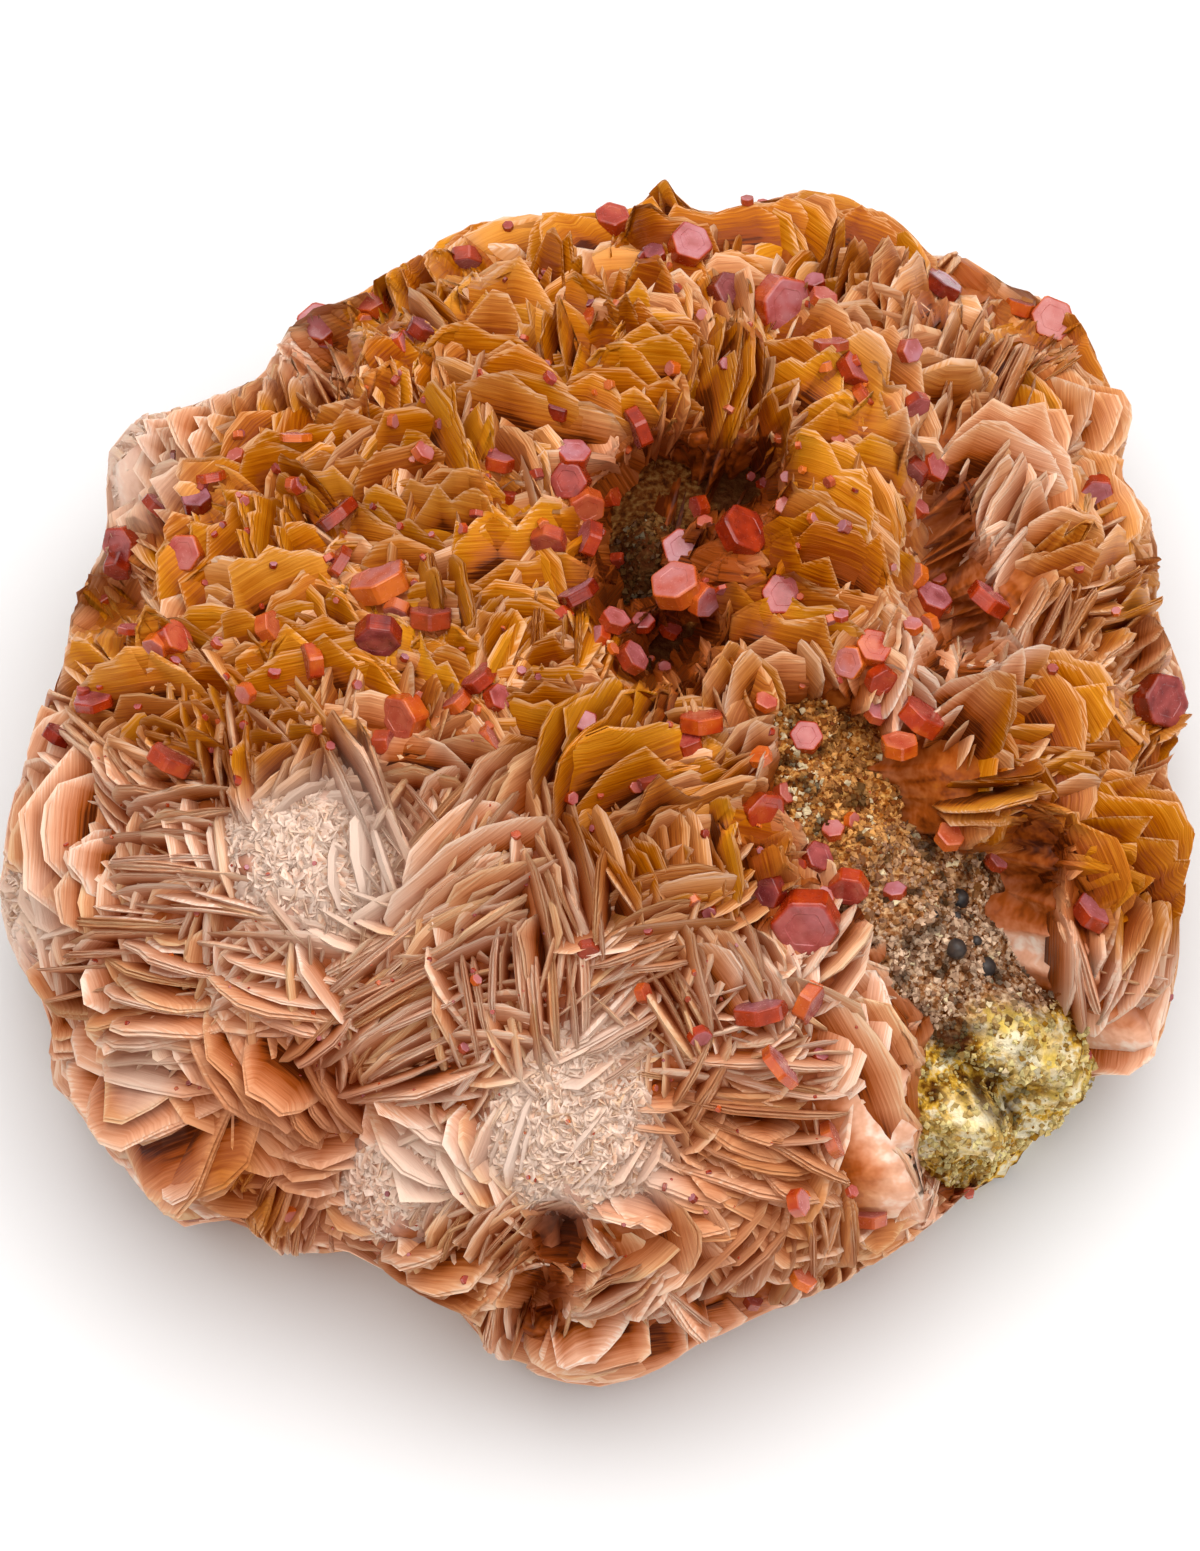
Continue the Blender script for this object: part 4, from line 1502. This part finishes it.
# small crystals beside those that are solids: u, v, radius, thickness, lean, turn
smallCrystals = [
    (-1.2, 4.3, 1, 0.9, 18, 60), (4.5, 43.3, 1, 1, 40, 100), (-7.7, 46, 0.5, 0.5, 40, 90),
    (-14.5, 26.5, 1, 0.9, 50, 40), (15, 22, 0.8, 0.8, 20, 80), (0.9, 23, 1, 1, 60, 10),
    (1.5, 17.5, 1, 0.9, 50, 260), (8.2, 22, 1.2, 1, 60, 190), (3.5, 12.5, 1, 0.9, 40, 90),
    (5.8, 12, 1, 0.8, 50, 60), (5.3, 8.8, 0.6, 0.6, 35, 90), (-3, 13, 0.9, 1, 60, 300),
    (-16.5, 13.5, 1.2, 1.1, 60, 250), (-36.6, 22.2, 1.5, 0.9, 78, 50), (-25, 27.8, 1.4, 0.7, 84, 90),
    (-35.3, 26.3, 0.8, 0.4, 80, 0), (-30, 26.3, 0.8, 0.8, 50, 120), (-24.7, 23.7, 0.8, 0.8, 60, 30),
    (-38.5, 12, 1.25, 0.6, 76, 90), (-31.2, 10.8, 0.6, 0.6, 50, 60), (-28.8, 6.7, 1, 0.9, 50, 210),
    (-44.6, 3.3, 1.3, 1, 70, 60), (-8.8, 2.8, 1.5, 0.8, 74, 30), (4, -0.5, 1, 0.8, 66, 100),
    (-6.8, -4.8, 0.45, 0.4, 40, 90), (19, 35.5, 1.5, 0.8, 76, 90), (18.5, 39.5, 1.2, 1, 55, 60),
    (17.8, 41, 1, 0.9, 50, 100), (25.5, 35, 1.1, 1, 40, 0), (26, 30.5, 1.2, 1, 50, 300),
    (26.3, 22, 0.9, 0.9, 60, 40), (19.5, 27.5, 0.6, 0.5, 50, 90), (14.7, 27.7, 0.5, 0.5, 50, 90),
    (19.6, 13, 0.7, 0.6, 50, 90), (25.5, 12.2, 0.9, 0.8, 50, 90), (28.2, 14, 1, 0.9, 60, 30),
    (27, 12.4, 1, 0.9, 50, 200), (28, 16.3, 0.7, 0.5, 40, 90), (22.5, 5, 1, 0.9, 50, 60),
    (13.5, 6, 1, 0.8, 40, 70), (13, 1.5, 1, 0.9, 50, 120), (15, -1.5, 1, 0.9, 50, 30),
    (19, -4.5, 1, 0.9, 40, 90), (24, -9.5, 1, 0.9, 50, 90), (28.5, -5, 1.3, 1.1, 40, 60),
    (32.5, -7, 1, 0.9, 50, 40), (18.2, -11, 1, 0.9, 30, 60), (20.5, -3.7, 0.8, 0.7, 50, 0),
    (37, 8.7, 0.5, 0.5, 40, 80), (42.5, 13.5, 0.45, 0.4, 40, 90), (39.5, 17, 0.45, 0.4, 50, 90),
    (47, -18.3, 0.45, 0.4, 40, 60), (-1, -14, 1, 0.9, 50, 280), (3.5, -17.5, 0.9, 0.8, 60, 10),
    (8, -21, 1, 0.9, 50, 300), (14.5, -23.5, 2.1, 0.9, 78, 38), (17.8, -22.7, 0.7, 0.6, 50, 60),
    (18.8, -29.5, 1.7, 1, 78, 24), (16, -34.5, 1.2, 1.1, 60, 10), (22, -36, 1.6, 1.1, 70, 90),
    (16.5, -41, 1.2, 0.9, 60, 60), (12.5, -43, 0.8, 0.8, 50, 60), (-10, -16.5, 0.5, 0.5, 50, 40),
    (-11, -22, 0.5, 0.5, 50, 40), (30.3, -34.3, 0.5, 0.5, 30, 90), (40, -23, 0.45, 0.4, 40, 90),
    (12.3, 48, 0.6, 0.6, 60, 90), (13.7, 48.2, 0.5, 0.5, 60, 90),
]
strewn = {
    "seed": 71,
    "spinSeed": 72,
    "tries": 4000,
    "within": 48,
    "reach": 44,
    "tiny": 130,
    "tinyRadius": (0.28, 0.75),
    "tinyLeftOf": 25,
    "seeds": 110,
    "seedRadius": (0.12, 0.3),
    "seedLeftOf": 22,
    "seedBelow": 8,
    "seedStain": 0.3,
    "thickness": (0.6, 1.4),
    "lean": (20, 80),
}


def prismArrays(middles, axes, radius, thickness, spin, profile, rng):
    # round the axis, two corners near each of six edges; along it, the profile's (height, radius) pairs
    count = len(middles)
    bevel = math.radians(prismShape["bevel"])
    corner = np.repeat(np.arange(6) * math.pi / 3.0, 2) + np.tile([-bevel, bevel], 6)
    flat = math.cos(math.pi / 6) / math.cos(math.pi / 6 - bevel)
    uneven = 1.0 + prismShape["unevenness"] * np.repeat(rng.uniform(-1, 1, (count, 6)), 2, axis=1)
    first = unit(np.cross(axes, prismShape["guide"]))
    second = np.cross(axes, first)
    angle = corner[None, :] + np.radians(spin)[:, None]
    ring = (radius[:, None] * flat * uneven)[:, None, :] * profile[None, :, 1:2]
    height = 0.5 * thickness[:, None] * profile[None, :, 0]
    points = (middles[:, None, None, :] + axes[:, None, None, :] * height[:, :, None, None]
              + (ring * np.cos(angle)[:, None, :])[..., None] * first[:, None, None, :]
              + (ring * np.sin(angle)[:, None, :])[..., None] * second[:, None, None, :])
    apart = spin[:, None, None]
    along = angle[:, None, :] * radius[:, None, None] + prismShape["patternStep"] * apart
    parts = np.broadcast_arrays(along, height[:, :, None] + 0.0 * ring, 0.0 * ring + apart)
    return points, np.stack(parts, axis=-1)


def prismFaces(count, levels, around=12):
    # quads between neighbouring rings, and a cap on each end ring
    index = np.arange(count * levels * around).reshape(count, levels, around)
    after = np.roll(index, -1, axis=2)
    quads = np.stack([index[:, :-1], after[:, :-1], after[:, 1:], index[:, 1:]], axis=-1).reshape(-1, 4)
    return [quads, np.concatenate([index[:, 0, ::-1], index[:, -1, :]])]


def makePrisms(name, middles, rows, tone, dust, profile, seed, replaced):
    # the look attribute holds tone, dust, and the bloom on the end faces
    rng = np.random.default_rng(seed)
    radius, thickness, lean, turn, spin = rows.T
    profile = np.array(profile)
    points, grain = prismArrays(middles, crystalAxes(lean, turn), radius, thickness, spin, profile, rng)
    end = np.where(np.abs(profile[:, 0]) > prismShape["endFrom"], 1.0, 0.0)
    bloom = rng.random((len(middles), 1, 1)) ** prismShape["bloom"] * end[None, :, None]
    parts = np.broadcast_arrays(tone[:, None, None], dust[:, None, None], bloom, np.ones(points.shape[:3]))
    look = np.stack(parts, axis=-1)
    return newPiece(name, holdInBox(points.reshape(-1, 3)), prismFaces(len(middles), len(profile)),
                    vanadiniteFinish, False, {"look": look.reshape(-1, 4), "grain": grain.reshape(-1, 3)},
                    replaced, "vanadinite")


# mean, spread and most of each crystal's tone and of the dust on it
crystalLook = {
    "seed": 61,
    "tone": (0.45, 0.25, 1),
    "dust": (0.0, 0.1, 0.5),
    "smallTone": (0.6, 0.25, 1),
    "smallDust": (0.05, 0.15, 0.6),
}
lookRng = np.random.default_rng(crystalLook["seed"])


def drawn(key, count):
    # normal draws, held from 0 to the most
    mean, spread, most = crystalLook[key]
    return np.clip(lookRng.normal(mean, spread, count), 0, most)


solidTone = drawn("tone", len(solidMiddles))
solidDust = drawn("dust", len(solidMiddles))
makePrisms("vanadiniteCrystals", solidMiddles, solidRows, solidTone, solidDust, prismShape["profile"],
           prismShape["seed"], solidNames)


def surfaceTree(*made):
    # one search tree over the triangles of several pieces, in mm
    corners, faces = [], []
    total = 0
    for piece in made:
        mesh = piece.data
        place = np.zeros(len(mesh.vertices) * 3)
        mesh.vertices.foreach_get("co", place)
        mesh.calc_loop_triangles()
        index = np.zeros(len(mesh.loop_triangles) * 3, np.int32)
        mesh.loop_triangles.foreach_get("vertices", index)
        corners.append(place.reshape(-1, 3) * perMetre)
        faces.append(index.reshape(-1, 3) + total)
        total += len(mesh.vertices)
    return BVHTree.FromPolygons(np.concatenate(corners).tolist(), np.concatenate(faces).tolist())


seatTree = surfaceTree(paleBlades, stainedBlades, carpetBlades, splinterBlades, ground, rock)
seat = {"from": 80.0, "turnStep": 72, "parts": (0.0, 0.55), "percentile": 60, "rise": 0.3}


def seatCrystals(rows):
    # each stands on a percentile of the heights met within its radius, its middle rise * reach above it
    middles, kept = [], []
    for index, (u, v, radius, thickness, lean) in enumerate(rows[:, :5]):
        heights = []
        for angle in np.radians(np.arange(0, 360, seat["turnStep"])):
            for part in seat["parts"]:
                start = (faceCentre + (u + part * radius * math.cos(angle)) * axisU
                         + (v + part * radius * math.sin(angle)) * axisV + seat["from"] * axisN)
                hit = seatTree.ray_cast(Vector(start), Vector(-axisN))
                if hit[0] is not None:
                    heights.append(seat["from"] - hit[3])
        if heights:
            tilted = math.radians(lean)
            reach = radius * math.sin(tilted) + 0.5 * thickness * math.cos(tilted)
            height = np.percentile(heights, seat["percentile"]) + seat["rise"] * reach
            middles.append(faceCentre + u * axisU + v * axisV + height * axisN)
            kept.append(index)
    return np.array(middles), kept


def strewnRows():
    # tiny crystals over the stained blades, and grain-sized ones over the pale blades
    rng = np.random.default_rng(strewn["seed"])
    u, v = rng.uniform(-strewn["within"], strewn["within"], (2, strewn["tries"]))
    stain = blobs(stainPatches, u, v)
    inside = np.hypot(u, v) < strewn["reach"]
    stained = inside & (rng.random(len(u)) < stain * (u < strewn["tinyLeftOf"]))
    pale = inside & (stain < strewn["seedStain"]) & (v < strewn["seedBelow"]) & (u < strewn["seedLeftOf"])
    stained, pale = np.flatnonzero(stained)[:strewn["tiny"]], np.flatnonzero(pale)[:strewn["seeds"]]
    pick = np.concatenate([stained, pale])
    size = rng.random(len(pick)) ** 2
    tiny = np.arange(len(pick)) < len(stained)
    limits = [np.where(tiny, strewn["tinyRadius"][k], strewn["seedRadius"][k]) for k in (0, 1)]
    radius = between(limits, size)
    lean, turn = rng.uniform(*strewn["lean"], len(pick)), rng.uniform(0, 360, len(pick))
    thickness = radius * rng.uniform(*strewn["thickness"], len(pick))
    return np.stack([u[pick], v[pick], radius, thickness, lean, turn], axis=1)


smallRows = np.concatenate([np.array(smallCrystals, float), strewnRows()])
smallMiddles, kept = seatCrystals(smallRows)
smallSpin = np.random.default_rng(strewn["spinSeed"]).uniform(0, 60, len(kept))
smallRows = np.column_stack([smallRows[kept][:, 2:], smallSpin])
smallTone = drawn("smallTone", len(kept))
smallDust = drawn("smallDust", len(kept))
makePrisms("vanadiniteSmallCrystals", smallMiddles, smallRows, smallTone, smallDust,
           prismShape["smallProfile"], prismShape["smallSeed"], [])

# floor, light and camera; the light's middle lies across and up from the view axis
stage = {
    "floorSize": 6.0,
    "floor": (0.86, 0.86, 0.87),
    "floorShade": (0.8, 0.8, 0.8),
    "floorShading": (0.3, 0.7, 0.0, 0.1),
    "floorRoughness": (0.3, 0.7, 0.6, 0.8),
    "floorMottle": (6.0, 0.0),
    # from and to are cosines to the light's middle, around and strength the brightness at each
    "light": {"across": 0.12, "up": 0.5, "from": 0.5, "to": 0.95, "around": 0.28, "strength": 2.8},
    "lightColour": (1.0, 0.985, 0.97),
    "distance": 1.2,
    "farthest": 20.0,
    "frameHeight": 129.25,
}


def makeFloor():
    # a flat sheet under the object, faintly mottled
    half = stage["floorSize"] * 0.5 * perMetre
    points = np.array([(-half, -half, 0), (half, -half, 0), (half, half, 0), (-half, half, 0)])
    material, tree, shader = startMaterial("paleFloor")
    place = node(tree, "ShaderNodeTexCoord").outputs["Object"]
    mottle = noise(tree, place, *stage["floorMottle"])
    shade = mixColour(tree, span(tree, mottle, *stage["floorShading"]), stage["floor"], stage["floorShade"])
    link(tree, shade, shader.inputs["Base Color"])
    link(tree, span(tree, mottle, *stage["floorRoughness"]), shader.inputs["Roughness"])
    newPiece("floor", points, np.array([[0, 1, 2, 3]]), material, False)


def makeCamera():
    # looks along the show face's normal; the whole frame is frameHeight tall at the lump
    data = bpy.data.cameras.new("camera")
    data.lens = data.sensor_width * stage["distance"] / (stage["frameHeight"] * mm)
    data.clip_end = stage["farthest"]
    camera = bpy.data.objects.new("camera", data)
    bpy.context.scene.collection.objects.link(camera)
    camera.location = Vector(faceCentre * mm + axisN * stage["distance"])
    camera.rotation_mode = "QUATERNION"
    camera.rotation_quaternion = Vector(axisN).to_track_quat("Z", "Y")
    bpy.context.scene.camera = camera


def makeWorld():
    # a soft bright dome: eases from around to strength as the cosine to the light's direction rises
    values = stage["light"]
    world = bpy.data.worlds.new("studio")
    world.use_nodes = True
    tree = world.node_tree
    back = tree.nodes["Background"]
    back.inputs["Color"].default_value = (*stage["lightColour"], 1.0)
    toward = node(tree, "ShaderNodeVectorMath", operation="DOT_PRODUCT")
    link(tree, node(tree, "ShaderNodeTexCoord").outputs["Generated"], toward.inputs[0])
    toward.inputs[1].default_value = unit(axisN + values["across"] * axisU + values["up"] * axisV)
    strength = node(tree, "ShaderNodeMapRange", interpolation_type="SMOOTHSTEP")
    sockets = {"From Min": "from", "From Max": "to", "To Min": "around", "To Max": "strength"}
    for key, value in sockets.items():
        strength.inputs[key].default_value = values[value]
    link(tree, toward.outputs["Value"], strength.inputs["Value"])
    link(tree, strength.outputs["Result"], back.inputs["Strength"])
    world.cycles.sampling_method = "NONE"
    bpy.context.scene.world = world


makeFloor()
makeCamera()
makeWorld()
bpy.context.scene.view_settings.view_transform = "Standard"
print("stage ready")
